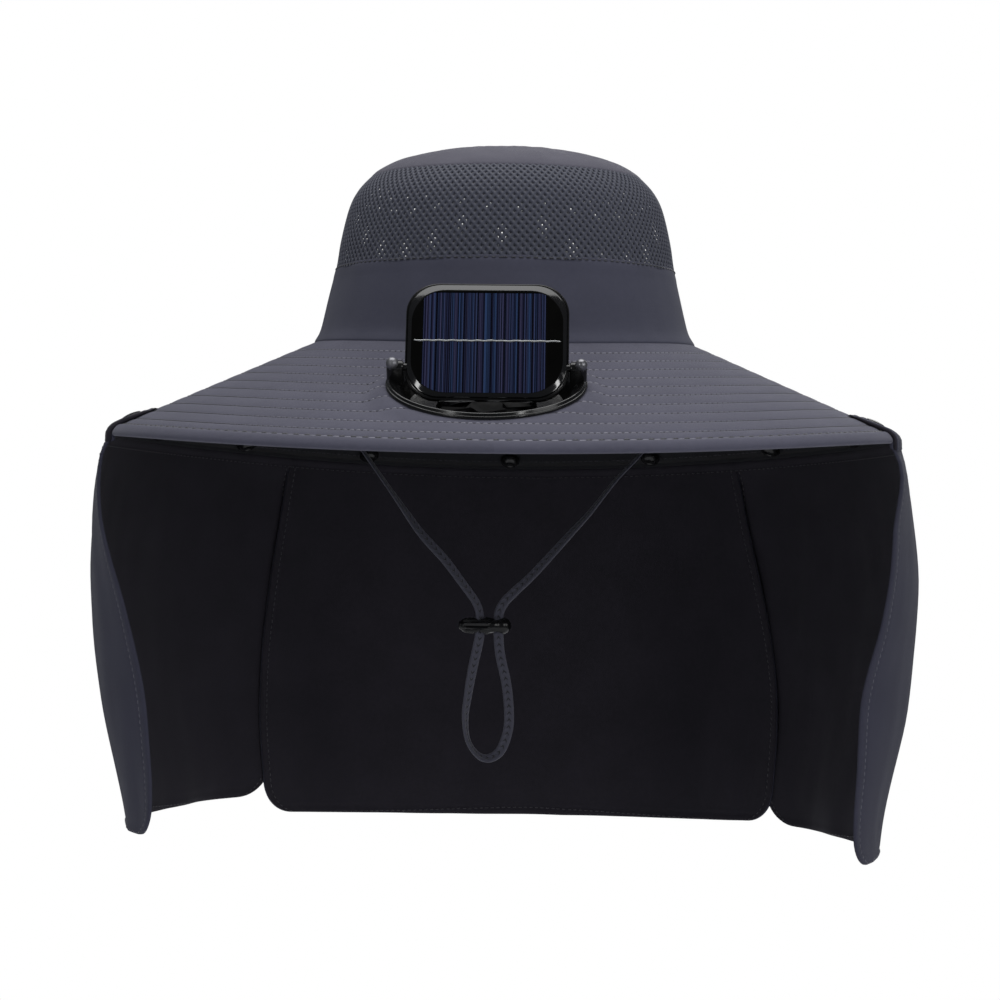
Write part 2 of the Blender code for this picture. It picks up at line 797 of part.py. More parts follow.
def make_snaps():
    """Snap fasteners: a cap on the flap band and a socket under the lining, on one post."""
    cap_seat = FLAP_PROUD + SNAP_SEAT_GAP
    socket_seat = -BRIM_STACK - SNAP_SEAT_GAP
    profile = (
        (0.0, cap_seat + SNAP_CAP_HEIGHT),
        (SNAP_CAP_RADIUS, cap_seat + SNAP_CAP_HEIGHT / 2),
        (SNAP_CAP_RADIUS, cap_seat),
        (SNAP_POST_RADIUS, cap_seat),
        (SNAP_POST_RADIUS, socket_seat),
        (SNAP_SOCKET_RADIUS, socket_seat),
        (SNAP_SOCKET_RADIUS, socket_seat - SNAP_SOCKET_HEIGHT),
        (0.0, socket_seat - SNAP_SOCKET_HEIGHT),
    )
    mesh = profile_mesh("snap", profile)
    finish = plastic("snap", BLACK)
    for index, place in enumerate(snap_places()):
        snap = put("snap_%d" % (index + 1), mesh, finish)
        snap.matrix_world = place
        add_screw(snap, SNAP_SIDES)


def oval(half_width, half_depth, height):
    """Function that gives the point of an oval ring at an angle."""
    return lambda angle: Vector((half_width * math.cos(angle), half_depth * math.sin(angle), height))


def oval_ring(name, rows, columns=OVAL_COLUMNS):
    """Closed ring whose section runs through rows of (half width, half depth, height)."""
    rings = [oval(*row) for row in rows]
    angles = [2 * math.pi * (index + 0.5) / columns for index in range(columns)]
    return loft(name, [[ring(angle) for ring in rings] for angle in angles], True)


def dish_mouth(outwards=0.0):
    """Half width and half depth of the dish's inner wall at the brim's plane, or of an oval outside it."""
    inset = BASE_STEP_WIDTH + 2 * BASE_RIM_WIDTH - outwards
    return BASE_HALF_WIDTH - inset, BASE_HALF_DEPTH - inset


def base_rows():
    """Section of the fan housing: flange, raised rim, dish and duct."""
    mouth = dish_mouth()
    outer_mouth = dish_mouth(BASE_WALL)
    floor = dish_mouth(-DISH_SLOPE)
    outer_floor = dish_mouth(BASE_WALL - DISH_SLOPE)
    step = BASE_STEP_WIDTH
    rim = BASE_RIM_WIDTH
    wide = BASE_HALF_WIDTH
    deep = BASE_HALF_DEPTH
    seat = FIT_GAP
    top = BASE_FLANGE_HEIGHT
    crest = BASE_RIM_HEIGHT
    duct_outer = DUCT_RADIUS + BASE_WALL
    return (
        (wide, deep, seat),
        (wide, deep, BASE_EDGE_HEIGHT),
        (wide - rim / 2, deep - rim / 2, top),
        (wide - step, deep - step, top),
        (wide - step - rim / 3, deep - step - rim / 3, crest),
        (wide - step - rim, deep - step - rim, crest),
        (*mouth, 0.0),
        (*floor, -DISH_DEPTH),
        (DUCT_RADIUS, DUCT_RADIUS, -DISH_DEPTH - FIT_GAP),
        (DUCT_RADIUS, DUCT_RADIUS, -DUCT_DEPTH),
        (duct_outer, duct_outer, -DUCT_DEPTH),
        (duct_outer, duct_outer, -DISH_DEPTH - BASE_WALL),
        (*outer_floor, -DISH_DEPTH - BASE_WALL),
        (*outer_mouth, seat),
    )


def ear_outlines(side):
    """Outlines of one hinge ear, a rounded upright slab, from its inner to its outer face."""
    outlines = []
    levels = (
        (0.0, EAR_ROUNDING / 2),
        (EAR_ROUNDING / 2, 0.0),
        (EAR_THICKNESS - EAR_ROUNDING, 0.0),
        (EAR_THICKNESS, EAR_ROUNDING),
    )
    for across, inset in levels:
        radius = EAR_RADIUS - inset
        points = []
        for index in range(EAR_STEPS + 1):
            turn = math.pi * index / EAR_STEPS
            points.append((HINGE_SETBACK + radius * math.cos(turn), HINGE_HEIGHT + radius * math.sin(turn)))
        points.append((HINGE_SETBACK - radius, BASE_FLANGE_HEIGHT / 2))
        points.append((HINGE_SETBACK + radius, BASE_FLANGE_HEIGHT / 2))
        x = side * (EAR_INNER + across)
        outlines.append([Vector((x, y, z)) for y, z in points])
    return outlines


def make_base(unit):
    """Fan housing with its two hinge ears and the holes for the hinge pins."""
    finish = plastic("fan_base", BLACK, 0.12)
    base = put("fan_base", oval_ring("fan_base", base_rows()), finish, unit)
    for side, name in ((-1, "ear_left"), (1, "ear_right")):
        ear = put(name, stack(name, ear_outlines(side)), finish, unit, cutter=True)
        boolean(base, ear, "UNION")
    reach = EAR_INNER + PIN_REACH + 2 * FIT_GAP
    along_x = Matrix.Translation((0, HINGE_SETBACK, HINGE_HEIGHT)) @ Matrix.Rotation(math.pi / 2, 4, "Y")
    hole_mesh = cylinder("pin_holes", PIN_HOLE_RADIUS, -reach, reach, PIN_SIDES, along_x)
    boolean(base, put("pin_holes", hole_mesh, finish, unit, cutter=True), "DIFFERENCE")


def make_collar(unit):
    """Retaining ring that holds the housing from under the brim."""
    top = -BRIM_STACK * math.cos(UNIT_TILT) - FIT_GAP
    inner = dish_mouth(BASE_WALL + COLLAR_CLEARANCE)
    outer = (BASE_HALF_WIDTH - BASE_WALL / 2, BASE_HALF_DEPTH - BASE_WALL / 2)
    rows = (
        (*outer, top),
        (*inner, top),
        (*inner, top - COLLAR_WALL),
        (*outer, top - COLLAR_WALL),
    )
    put("fan_collar", oval_ring("fan_collar", rows), plastic("fan_collar", BLACK), unit)


def round_ring(name, inner, outer, low, high):
    """Closed flat ring between two radii and two heights."""
    rows = ((outer, outer, high), (inner, inner, high), (inner, inner, low), (outer, outer, low))
    return oval_ring(name, rows, ROUND_COLUMNS)


def make_guard(unit, boss_top):
    """Grille in the duct's lower end, with the motor boss and the fan's shaft."""
    finish = plastic("fan_guard", BLACK)
    low = -DUCT_DEPTH
    outer = DUCT_RADIUS - FIT_GAP
    high = low + GUARD_HEIGHT
    middle = (low + high) / 2
    ring_mesh = round_ring("fan_guard", outer - GUARD_RING_WIDTH, outer, low, high)
    guard = put("fan_guard", ring_mesh, finish, unit)
    inset = GUARD_BAR_INSET
    ring = round_ring("guard_ring", GUARD_MIDDLE_RING_RADIUS - GUARD_BAR_WIDTH, GUARD_MIDDLE_RING_RADIUS,
                      low + inset / 2, high - inset / 2)
    pieces = [ring]
    for index in range(GUARD_BAR_COUNT):
        turn = Matrix.Rotation(math.pi * (index + 0.5) / GUARD_BAR_COUNT, 4, "Z")
        size = (2 * outer - GUARD_RING_WIDTH, GUARD_BAR_WIDTH, GUARD_HEIGHT - 2 * inset)
        pieces.append(box("guard_bar_%d" % index, size, Matrix.Translation((0, 0, middle)) @ turn))
    pieces.append(cylinder("motor_boss", HUB_RADIUS, low + inset / 4, boss_top, ROUND_COLUMNS, Matrix()))
    shaft_top = boss_top + SHAFT_LENGTH
    pieces.append(cylinder("fan_shaft", SHAFT_RADIUS, middle, shaft_top, PIN_SIDES, Matrix()))
    for mesh in pieces:
        boolean(guard, put(mesh.name, mesh, finish, unit, cutter=True), "UNION")


def make_rotor(unit, low):
    """Fan wheel: blades drawn out of alternate faces of the hub, turned and thinned to a pitch."""
    working = bmesh.new()
    high = low + ROTOR_HEIGHT
    middle = Matrix.Translation((0, 0, (low + high) / 2))
    bmesh.ops.create_cone(
        working, cap_ends=True, segments=2 * BLADE_COUNT, radius1=HUB_RADIUS, radius2=HUB_RADIUS,
        depth=ROTOR_HEIGHT, matrix=middle,
    )
    sides = [face for face in working.faces if abs(face.normal.z) < 0.5]
    sides.sort(key=lambda face: math.atan2(face.normal.y, face.normal.x))
    blades = sides[::2]
    tip = DUCT_RADIUS - ROTOR_TIP_CLEARANCE
    blade_half_height = ROTOR_HEIGHT * BLADE_HEIGHT_SHARE / 2
    for distance in (HUB_RADIUS * BLADE_ROOT_SHARE, tip * BLADE_TIP_SHARE):
        made = bmesh.ops.extrude_discrete_faces(working, faces=blades)
        blades = made["faces"]
        for face in blades:
            outward = Vector((face.normal.x, face.normal.y, 0)).normalized()
            sideways = Vector((0, 0, 1)).cross(outward)
            half = math.tan(math.pi / 2 / BLADE_COUNT) * distance * BLADE_WIDTH_SHARE
            for corner in face.verts:
                across = 1 if (corner.co - face.calc_center_median()).dot(sideways) > 0 else -1
                upper = 1 if corner.co.z > (low + high) / 2 else -1
                rise = (across * math.sin(BLADE_PITCH) + upper * BLADE_THICKNESS_SHARE) * blade_half_height
                flat = outward * distance + sideways * across * half
                corner.co = Vector((flat.x, flat.y, (low + high) / 2 + rise))
    rotor = put("fan_rotor", finished(working, "fan_rotor"), plastic("fan_rotor", BLACK), unit)
    bore_top = low - FIT_GAP + SHAFT_LENGTH + SHAFT_END_GAP
    bore = cylinder("rotor_bore", SHAFT_RADIUS + FIT_GAP, low - FIT_GAP, bore_top, PIN_SIDES, Matrix())
    boolean(rotor, put("rotor_bore", bore, plastic("rotor_bore", BLACK), unit, cutter=True), "DIFFERENCE")


def rounded_outline(half_width, low, high, corner, inset, level):
    """Rounded rectangle in the panel's own plane, drawn in by an inset."""
    radius = corner - inset
    points = []
    corners = (
        (half_width - corner, high - corner, 0.0),
        (-half_width + corner, high - corner, math.pi / 2),
        (-half_width + corner, low + corner, math.pi),
        (half_width - corner, low + corner, 3 * math.pi / 2),
    )
    for centre_x, centre_y, start in corners:
        for index in range(PANEL_CORNER_STEPS + 1):
            turn = start + math.pi / 2 * index / PANEL_CORNER_STEPS
            x = centre_x + radius * math.cos(turn)
            y = centre_y + radius * math.sin(turn)
            points.append(Vector((x, y, level)))
    return points


def make_panel(hinge):
    """Solar panel: a rounded frame with hinge pins, and the cell sheet in its pocket."""
    half = PANEL_THICKNESS / 2
    finish = plastic("solar_panel", BLACK, 0.1)
    levels = (
        (PANEL_CHAMFER / 3, -half),
        (0.0, -half + PANEL_CHAMFER / 3),
        (0.0, half - PANEL_CHAMFER / 2),
        (PANEL_CHAMFER, half),
    )
    outlines = [
        rounded_outline(PANEL_WIDTH / 2, -PANEL_BELOW_HINGE, PANEL_ABOVE_HINGE, PANEL_CORNER, inset, level)
        for inset, level in levels
    ]
    panel = put("solar_panel", stack("solar_panel", outlines), finish, hinge)
    middle = (PANEL_ABOVE_HINGE - PANEL_BELOW_HINGE) / 2
    reach = EAR_INNER + PIN_REACH
    pin = cylinder("hinge_pins", PIN_RADIUS, -reach, reach, PIN_SIDES, Matrix.Rotation(math.pi / 2, 4, "Y"))
    boolean(panel, put("hinge_pins", pin, finish, hinge, cutter=True), "UNION")
    pocket_depth = CELL_THICKNESS + FIT_GAP
    pocket_size = (CELL_WIDTH + 2 * FIT_GAP, CELL_HEIGHT + 2 * FIT_GAP, 2 * pocket_depth)
    pocket = box("cell_pocket", pocket_size, Matrix.Translation((0, middle, half)))
    boolean(panel, put("cell_pocket", pocket, finish, hinge, cutter=True), "DIFFERENCE")
    centre = Matrix.Translation((0, middle, half - CELL_THICKNESS / 2))
    cells = box("solar_cells", (CELL_WIDTH, CELL_HEIGHT, CELL_THICKNESS), centre)
    put("solar_cells", cells, plastic("solar_cells", CELL_BLUE, 0.2), hinge)


def make_unit_hole(unit):
    """Cutter for the oval hole that the housing's dish and duct pass through."""
    size = dish_mouth(BASE_WALL + HOLE_CLEARANCE)
    outlines = []
    for height in (-DUCT_DEPTH, DUCT_DEPTH):
        ring = oval(*size, height)
        outlines.append([ring(2 * math.pi * (index + 0.5) / OVAL_COLUMNS) for index in range(OVAL_COLUMNS)])
    return put("unit_hole", stack("unit_hole", outlines), plastic("unit_hole", BLACK), unit, cutter=True)


def empty(name, matrix, parent=None):
    """Axis that other objects are placed on."""
    item = bpy.data.objects.new(name, None)
    bpy.data.collections[PARTS].objects.link(item)
    if parent:
        item.parent = parent
    item.matrix_basis = matrix
    return item


def cord_path():
    """Evenly spaced points on a smooth curve through the route of the chin tape."""
    knots = [Vector(point) for point in CORD_ROUTE]
    fine = []
    for index in range(len(knots) - 1):
        start, end = knots[index], knots[index + 1]
        before = knots[max(index - 1, 0)]
        after = knots[min(index + 2, len(knots) - 1)]
        for step in range(CORD_STEPS):
            share = step / CORD_STEPS
            square = share * share
            cube = square * share
            fine.append(
                start * (1.5 * cube - 2.5 * square + 1) + before * (square - 0.5 * cube - 0.5 * share)
                + end * (2 * square - 1.5 * cube + 0.5 * share) + after * (0.5 * cube - 0.5 * square)
            )
    fine.append(knots[-1])
    lengths = [0.0]
    for start, end in zip(fine, fine[1:]):
        lengths.append(lengths[-1] + (end - start).length)
    points = []
    index = 0
    for count in range(CORD_POINTS):
        wanted = lengths[-1] * count / (CORD_POINTS - 1)
        while index < len(fine) - 2 and lengths[index + 1] < wanted:
            index += 1
        share = (wanted - lengths[index]) / (lengths[index + 1] - lengths[index])
        points.append(fine[index].lerp(fine[index + 1], share))
    return points


def make_cord():
    """Chin tape as a plain tube along its whole route."""
    curve = bpy.data.curves.new("chin_cord", "CURVE")
    curve.dimensions = "3D"
    curve.bevel_depth = CORD_RADIUS
    curve.bevel_resolution = 2
    curve.use_fill_caps = True
    points = cord_path()
    spline = curve.splines.new("POLY")
    spline.points.add(len(points) - 1)
    for slot, point in zip(spline.points, points):
        slot.co = (*point, 1.0)
    put("chin_cord", curve, cloth("chin_cord", GREY))


def make_toggle():
    """Spring toggle: a ribbed barrel with a round end and two holes, and its push button."""
    length = TOGGLE_RIGHT - TOGGLE_LEFT
    finish = plastic("cord_toggle", BLACK)
    radius = TOGGLE_RADIUS
    profile = [(radius * radius_share, length * length_share) for radius_share, length_share in TOGGLE_ROWS]
    toggle = put("cord_toggle", profile_mesh("cord_toggle", profile), finish)
    place = Matrix.Translation((TOGGLE_LEFT, TOGGLE_Y, TOGGLE_Z)) @ Matrix.Rotation(math.pi / 2, 4, "Y")
    toggle.matrix_world = place
    add_screw(toggle, TOGGLE_SIDES)
    hole = CORD_RADIUS + TOGGLE_HOLE_CLEARANCE
    for name, x in (("left_hole", CORD_LEFT_HOLE_X), ("right_hole", CORD_RIGHT_HOLE_X)):
        hole_mesh = cylinder(name, hole, -2 * radius, 2 * radius, PIN_SIDES,
                             Matrix.Translation((x, TOGGLE_Y, TOGGLE_Z)))
        tool = put(name, hole_mesh, finish, cutter=True)
        boolean(toggle, tool, "DIFFERENCE")
    bore_radius = BUTTON_RADIUS + FIT_GAP
    bore_mesh = cylinder("button_bore", bore_radius, -radius, BUTTON_DEPTH, TOGGLE_SIDES, place)
    boolean(toggle, put("button_bore", bore_mesh, finish, cutter=True), "DIFFERENCE")
    low = BUTTON_DEPTH - FIT_GAP - BUTTON_LENGTH
    button = cylinder("toggle_button", BUTTON_RADIUS, low, BUTTON_DEPTH - FIT_GAP, TOGGLE_SIDES, place)
    put("toggle_button", button, plastic("toggle_button", BLACK))


def make_unit():
    """Fan housing, collar, grille, fan wheel and solar panel, on the axis of the brim's slope."""
    seat = Matrix.Translation((UNIT_X, -UNIT_OUT, unit_height(-UNIT_OUT)))
    unit = empty("fan_axis", seat @ Matrix.Rotation(UNIT_TILT, 4, "X"))
    hinge_turn = math.pi / 2 - PANEL_LEAN - UNIT_TILT
    hinge_place = Matrix.Translation((0, HINGE_SETBACK, HINGE_HEIGHT)) @ Matrix.Rotation(hinge_turn, 4, "X")
    hinge = empty("panel_hinge", hinge_place, unit)
    rotor_low = -DISH_DEPTH - ROTOR_HEIGHT - FIT_GAP
    make_base(unit)
    make_collar(unit)
    make_guard(unit, rotor_low - FIT_GAP)
    make_rotor(unit, rotor_low)
    make_panel(hinge)
    return unit


def main():
    """Build the hat piece by piece."""
    clear_scene()
    unit = make_unit()
    snap_holes = make_snap_holes()
    make_crown()
    make_brim(make_unit_hole(unit), snap_holes)
    make_flap(snap_holes)
    make_snaps()
    make_cord()
    make_toggle()


main()
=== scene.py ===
import math

import bmesh
import bpy
from mathutils import Matrix, Vector, noise


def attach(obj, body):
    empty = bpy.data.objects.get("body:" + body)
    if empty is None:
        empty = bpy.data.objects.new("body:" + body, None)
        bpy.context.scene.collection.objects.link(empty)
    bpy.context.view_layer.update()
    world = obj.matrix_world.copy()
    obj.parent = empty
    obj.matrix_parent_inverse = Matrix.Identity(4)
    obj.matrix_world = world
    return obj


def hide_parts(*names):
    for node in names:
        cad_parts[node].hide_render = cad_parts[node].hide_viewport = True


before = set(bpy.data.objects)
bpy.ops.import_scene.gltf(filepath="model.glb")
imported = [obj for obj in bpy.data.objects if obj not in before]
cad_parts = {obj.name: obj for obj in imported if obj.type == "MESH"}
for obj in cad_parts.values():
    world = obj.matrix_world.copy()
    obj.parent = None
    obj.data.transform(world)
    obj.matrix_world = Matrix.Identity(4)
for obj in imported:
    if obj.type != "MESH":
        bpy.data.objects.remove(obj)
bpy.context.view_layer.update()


# The studio: the photograph's level camera, a soft light above, two tall strips in front, weak lights to
# the right, the left and behind, and a pale round floor far enough below to stay out of the front view.
CAMERA_DISTANCE = 1.3
CAMERA_HEIGHT = -0.0775
CAMERA_TURN = math.radians(1.2)
CAMERA_ROLL = math.radians(0.6)
CAMERA_LENS = 93.6
FLOOR_HEIGHT = -0.62
FLOOR_RADIUS = 1.2
AMBIENT = 0.25
AMBIENT_IN_GLOSS = 0.08

camera_data = bpy.data.cameras.new("photo_camera")
camera_data.sensor_width = 36.0
camera_data.lens = CAMERA_LENS
camera_data.shift_x = -0.003
camera = bpy.data.objects.new("photo_camera", camera_data)
camera_place = Vector((
    CAMERA_DISTANCE * math.sin(CAMERA_TURN),
    -CAMERA_DISTANCE * math.cos(CAMERA_TURN),
    CAMERA_HEIGHT,
))
level_view = Matrix.Rotation(CAMERA_TURN, 4, "Z") @ Matrix.Rotation(math.pi / 2, 4, "X")
camera.matrix_world = Matrix.Translation(camera_place) @ level_view @ Matrix.Rotation(CAMERA_ROLL, 4, "Z")
bpy.context.scene.collection.objects.link(camera)
bpy.context.scene.camera = camera


def soft_light(name, place, target, size, power, tall=1.0):
    """Upright rectangular light that faces a point; tall is its height over its width."""
    data = bpy.data.lights.new(name, "AREA")
    data.shape = "RECTANGLE"
    data.size = size
    data.size_y = size * tall
    data.energy = power
    light = bpy.data.objects.new(name, data)
    aim = (Vector(target) - Vector(place)).to_track_quat("-Z", "Y")
    light.matrix_world = Matrix.Translation(place) @ aim.to_matrix().to_4x4()
    bpy.context.scene.collection.objects.link(light)


soft_light("light_above", (0.0, 0.06, 1.5), (0.0, 0.0, 0.0), 1.6, 21.5)
soft_light("strip_left", (-0.80, -1.45, 0.25), (0.0, -0.1, -0.05), 0.125, 2.0, 4.9)
soft_light("strip_right", (0.80, -1.45, 0.25), (0.0, -0.1, -0.05), 0.125, 2.3, 4.9)
soft_light("light_right", (1.5, -1.1, 0.35), (0.0, 0.0, -0.05), 0.9, 4.6)
soft_light("light_left", (-1.6, -0.9, 0.3), (0.0, 0.0, -0.05), 0.9, 0.15)
soft_light("light_behind", (0.4, 1.7, 0.5), (0.0, 0.1, -0.1), 1.0, 5.0)


world = bpy.data.worlds.new("pale_studio")
world.use_nodes = True
bpy.context.scene.world = world
world_tree = world.node_tree
backdrop = world_tree.nodes["Background"]
backdrop.inputs["Color"].default_value = (1.0, 1.0, 1.0, 1.0)
backdrop.inputs["Strength"].default_value = 1.0
ambient = world_tree.nodes.new("ShaderNodeBackground")
ambient.inputs["Color"].default_value = (0.88, 0.93, 1.0, 1.0)
seen = world_tree.nodes.new("ShaderNodeLightPath")
# The studio round the hat is dark, so gloss shows the lights and little else
dim_in_gloss = world_tree.nodes.new("ShaderNodeMath")
dim_in_gloss.operation = "MULTIPLY_ADD"
dim_in_gloss.inputs[1].default_value = AMBIENT_IN_GLOSS - AMBIENT
dim_in_gloss.inputs[2].default_value = AMBIENT
world_tree.links.new(seen.outputs["Is Glossy Ray"], dim_in_gloss.inputs[0])
world_tree.links.new(dim_in_gloss.outputs[0], ambient.inputs["Strength"])
choose = world_tree.nodes.new("ShaderNodeMixShader")
world_tree.links.new(seen.outputs["Is Camera Ray"], choose.inputs[0])
world_tree.links.new(ambient.outputs[0], choose.inputs[1])
world_tree.links.new(backdrop.outputs[0], choose.inputs[2])
world_tree.links.new(choose.outputs[0], world_tree.nodes["World Output"].inputs["Surface"])
bpy.context.scene.view_settings.view_transform = "Standard"

bpy.ops.mesh.primitive_circle_add(
    vertices=96, radius=FLOOR_RADIUS, fill_type="NGON", location=(0, 0, FLOOR_HEIGHT))
floor = bpy.context.active_object
floor.name = "pale_floor"
floor_paint = bpy.data.materials.new("pale_floor")
floor_paint.use_nodes = True
floor_paint.node_tree.nodes["Principled BSDF"].inputs["Base Color"].default_value = (0.86, 0.86, 0.87, 1.0)
floor_paint.node_tree.nodes["Principled BSDF"].inputs["Roughness"].default_value = 0.8
floor.data.materials.append(floor_paint)


# The chin tape: a soft flat braid about 5 mm wide. It is sewn into the crown's foot on both sides,
# passes twice through the toggle and hangs below it in one long loop.
TAPE_WIDTH = 0.0048
TAPE_THICKNESS = 0.0012
TAPE_BRAID_PITCH = 0.0034
TAPE_STEPS = 14
TAPE_COLOUR = (0.044, 0.044, 0.066)
# Painted shade in the braid's openings
TAPE_GAP_SHADE = (0.010, 0.010, 0.016)
# Route of the chin tape: left seam, toggle, loop, toggle, right seam
CORD_ROUTE = (
    (-0.0869, -0.014, 0.004),
    (-0.0868, -0.014, -0.007),
    (-0.0832, -0.016, -0.026),
    (-0.0755, -0.019, -0.044),
    (-0.0663, -0.020, -0.0575),
    (-0.0487, -0.022, -0.0819),
    (-0.0394, -0.022, -0.0946),
    (-0.0277, -0.022, -0.1073),
    (-0.0184, -0.022, -0.1195),
    (-0.0126, -0.022, -0.1275),
    (-0.0104, -0.022, -0.1335),
    (-0.0104, -0.022, -0.1393),
    (-0.0105, -0.022, -0.1455),
    (-0.0135, -0.022, -0.1600),
    (-0.0157, -0.022, -0.1732),
    (-0.0170, -0.022, -0.1850),
    (-0.0155, -0.022, -0.1960),
    (-0.0106, -0.022, -0.2030),
    (-0.0050, -0.022, -0.2045),
    (0.0006, -0.022, -0.2005),
    (0.0040, -0.022, -0.1910),
    (0.0045, -0.022, -0.1816),
    (0.0031, -0.022, -0.1679),
    (0.0000, -0.022, -0.1542),
    (-0.0010, -0.022, -0.1450),
    (-0.0010, -0.022, -0.1393),
    (-0.0009, -0.022, -0.1333),
    (0.0015, -0.022, -0.1280),
    (0.0070, -0.022, -0.1222),
    (0.0168, -0.022, -0.1127),
    (0.0339, -0.022, -0.0936),
    (0.0431, -0.022, -0.0834),
    (0.0558, -0.021, -0.0672),
    (0.0672, -0.020, -0.0550),
    (0.0765, -0.019, -0.0430),
    (0.0834, -0.016, -0.0250),
    (0.0868, -0.014, -0.007),
    (0.0869, -0.014, 0.004),
)
# How far the braid is turned from facing the front, by its place on the route
TAPE_TWISTS = (
    # share of the route, degrees
    (0.0, 82.0),
    (0.12, 80.0),
    (0.18, 74.0),
    (0.22, 50.0),
    (0.25, 34.0),
    (0.30, 40.0),
    (0.34, 38.0),
    (0.37, 14.0),
    (0.42, 40.0),
    (0.455, 66.0),
    (0.48, 66.0),
    (0.50, 28.0),
    (0.52, 2.0),
    (0.58, -4.0),
    (0.65, 12.0),
    (0.69, 30.0),
    (0.74, 42.0),
    (0.78, 62.0),
    (0.82, 74.0),
    (0.88, 80.0),
    (1.0, 82.0),
)


def smooth_step(share):
    """Ease from 0 to 1."""
    held = min(max(share, 0.0), 1.0)
    return held * held * (3 - 2 * held)


def read_table(rows, place):
    """Value at a place in a table of (place, value) rows, on a smooth curve through them."""
    held = min(max(place, rows[0][0]), rows[-1][0])
    index = 0
    while index < len(rows) - 2 and rows[index + 1][0] < held:
        index += 1
    start, end = rows[index], rows[index + 1]
    before = rows[max(index - 1, 0)]
    after = rows[min(index + 2, len(rows) - 1)]
    span = end[0] - start[0]
    share = (held - start[0]) / span
    slope_start = (end[1] - before[1]) / (end[0] - before[0]) * span
    slope_end = (after[1] - start[1]) / (after[0] - start[0]) * span
    square = share * share
    cube = square * share
    return (
        (2 * cube - 3 * square + 1) * start[1]
        + (cube - 2 * square + share) * slope_start
        + (3 * square - 2 * cube) * end[1]
        + (cube - square) * slope_end
    )


def smooth_line(knots, steps):
    """Points of a smooth curve through knots, the same curve as the part's own."""
    fine = []
    for index in range(len(knots) - 1):
        start, end = knots[index], knots[index + 1]
        before = knots[max(index - 1, 0)]
        after = knots[min(index + 2, len(knots) - 1)]
        for step in range(steps):
            share = step / steps
            square = share * share
            cube = square * share
            fine.append(
                start * (1.5 * cube - 2.5 * square + 1) + before * (square - 0.5 * cube - 0.5 * share)
                + end * (2 * square - 1.5 * cube + 0.5 * share) + after * (0.5 * cube - 0.5 * square)
            )
    fine.append(knots[-1])
    return fine


def way_along(line):
    """Way walked along a line of points, at each of them."""
    lengths = [0.0]
    for here, there in zip(line, line[1:]):
        lengths.append(lengths[-1] + (there - here).length)
    return lengths


def new_piece(name, mesh, *paints):
    """Object at the origin for a finished mesh or curve, with its materials."""
    piece = bpy.data.objects.new(name, mesh)
    for paint in paints:
        mesh.materials.append(paint)
    bpy.context.scene.collection.objects.link(piece)
    return piece


def loft_mesh(name, sections, wrap, marks, back=1):
    """Closed mesh through sections that are closed loops, with a UV map in metres.

    marks gives a (across, along) pair for each point of each section. Open ends are closed between
    a section's two halves, so the first half is one side of a wall and the second half the other,
    whose faces take the material slot back.
    """
    count = len(sections)
    size = len(sections[0])
    points = [point for section in sections for point in section]
    faces = []
    corners = []
    for index in range(count if wrap else count - 1):
        there = (index + 1) % count
        for corner in range(size):
            after = (corner + 1) % size
            faces.append((index * size + corner, index * size + after,
                          there * size + after, there * size + corner))
            corners.append(((index, corner), (index, after), (index + 1, after), (index + 1, corner)))
    if not wrap:
        for index in (0, count - 1):
            for corner in range(size // 2 - 1):
                opposite = size - 1 - corner
                ring = (corner, corner + 1, opposite - 1, opposite)
                faces.append(tuple(index * size + place for place in ring))
                corners.append(tuple((index, place) for place in ring))
    mesh = bpy.data.meshes.new(name)
    mesh.from_pydata([tuple(point) for point in points], [], faces)
    layer = mesh.uv_layers.new(name="cloth")
    flat = []
    for ring in corners:
        for index, corner in ring:
            flat.extend(marks(index, corner))
    layer.data.foreach_set("uv", flat)
    for face, ring in zip(mesh.polygons, corners):
        face.material_index = back if min(corner for index, corner in ring) >= size // 2 else 0
    working = bmesh.new()
    working.from_mesh(mesh)
    bmesh.ops.remove_doubles(working, verts=working.verts, dist=1e-6)
    bmesh.ops.recalc_face_normals(working, faces=working.faces)
    working.to_mesh(mesh)
    working.free()
    mesh.shade_smooth()
    return mesh


def feed(tree, socket, value):
    """Give an input a number, a colour, a name or another node's output."""
    if isinstance(value, bpy.types.NodeSocket):
        tree.links.new(value, socket)
    else:
        socket.default_value = (*value, 1.0) if isinstance(value, tuple) else value


def new_paint(name, colour, roughness, **gloss):
    """Material, its tree and its shader; gloss holds more of the shader's inputs, underscores for spaces."""
    paint = bpy.data.materials.new(name)
    paint.use_nodes = True
    shader = paint.node_tree.nodes["Principled BSDF"]
    for key, value in {"Base Color": colour, "Roughness": roughness, **gloss}.items():
        feed(paint.node_tree, shader.inputs[key.replace("_", " ")], value)
    return paint, paint.node_tree, shader


def put_node(tree, kind, **settings):
    """Node of a kind, its inputs given by name with underscores for spaces, as values or outputs."""
    node = tree.nodes.new(kind)
    for key, value in settings.items():
        if hasattr(node, key):
            setattr(node, key, value)
        else:
            feed(tree, node.inputs[key.replace("_", " ")], value)
    return node


def sum_node(tree, operation, first, second=0.0):
    """Math node on one or two sockets or numbers."""
    node = put_node(tree, "ShaderNodeMath", operation=operation)
    feed(tree, node.inputs[0], first)
    feed(tree, node.inputs[1], second)
    return node.outputs[0]


def split_node(tree, vector):
    """X, Y and Z of a vector."""
    return put_node(tree, "ShaderNodeSeparateXYZ", Vector=vector).outputs


def ease_node(tree, value, low, high, to_low=0.0, to_high=1.0):
    """Value that goes from to_low to to_high while another goes from low to high."""
    return put_node(tree, "ShaderNodeMapRange", From_Min=low, From_Max=high, To_Min=to_low, To_Max=to_high,
                    Value=value).outputs[0]


# A Mix node's two colour inputs and its colour output
MIX_COLOURS = (6, 7)
MIX_RESULT = 2


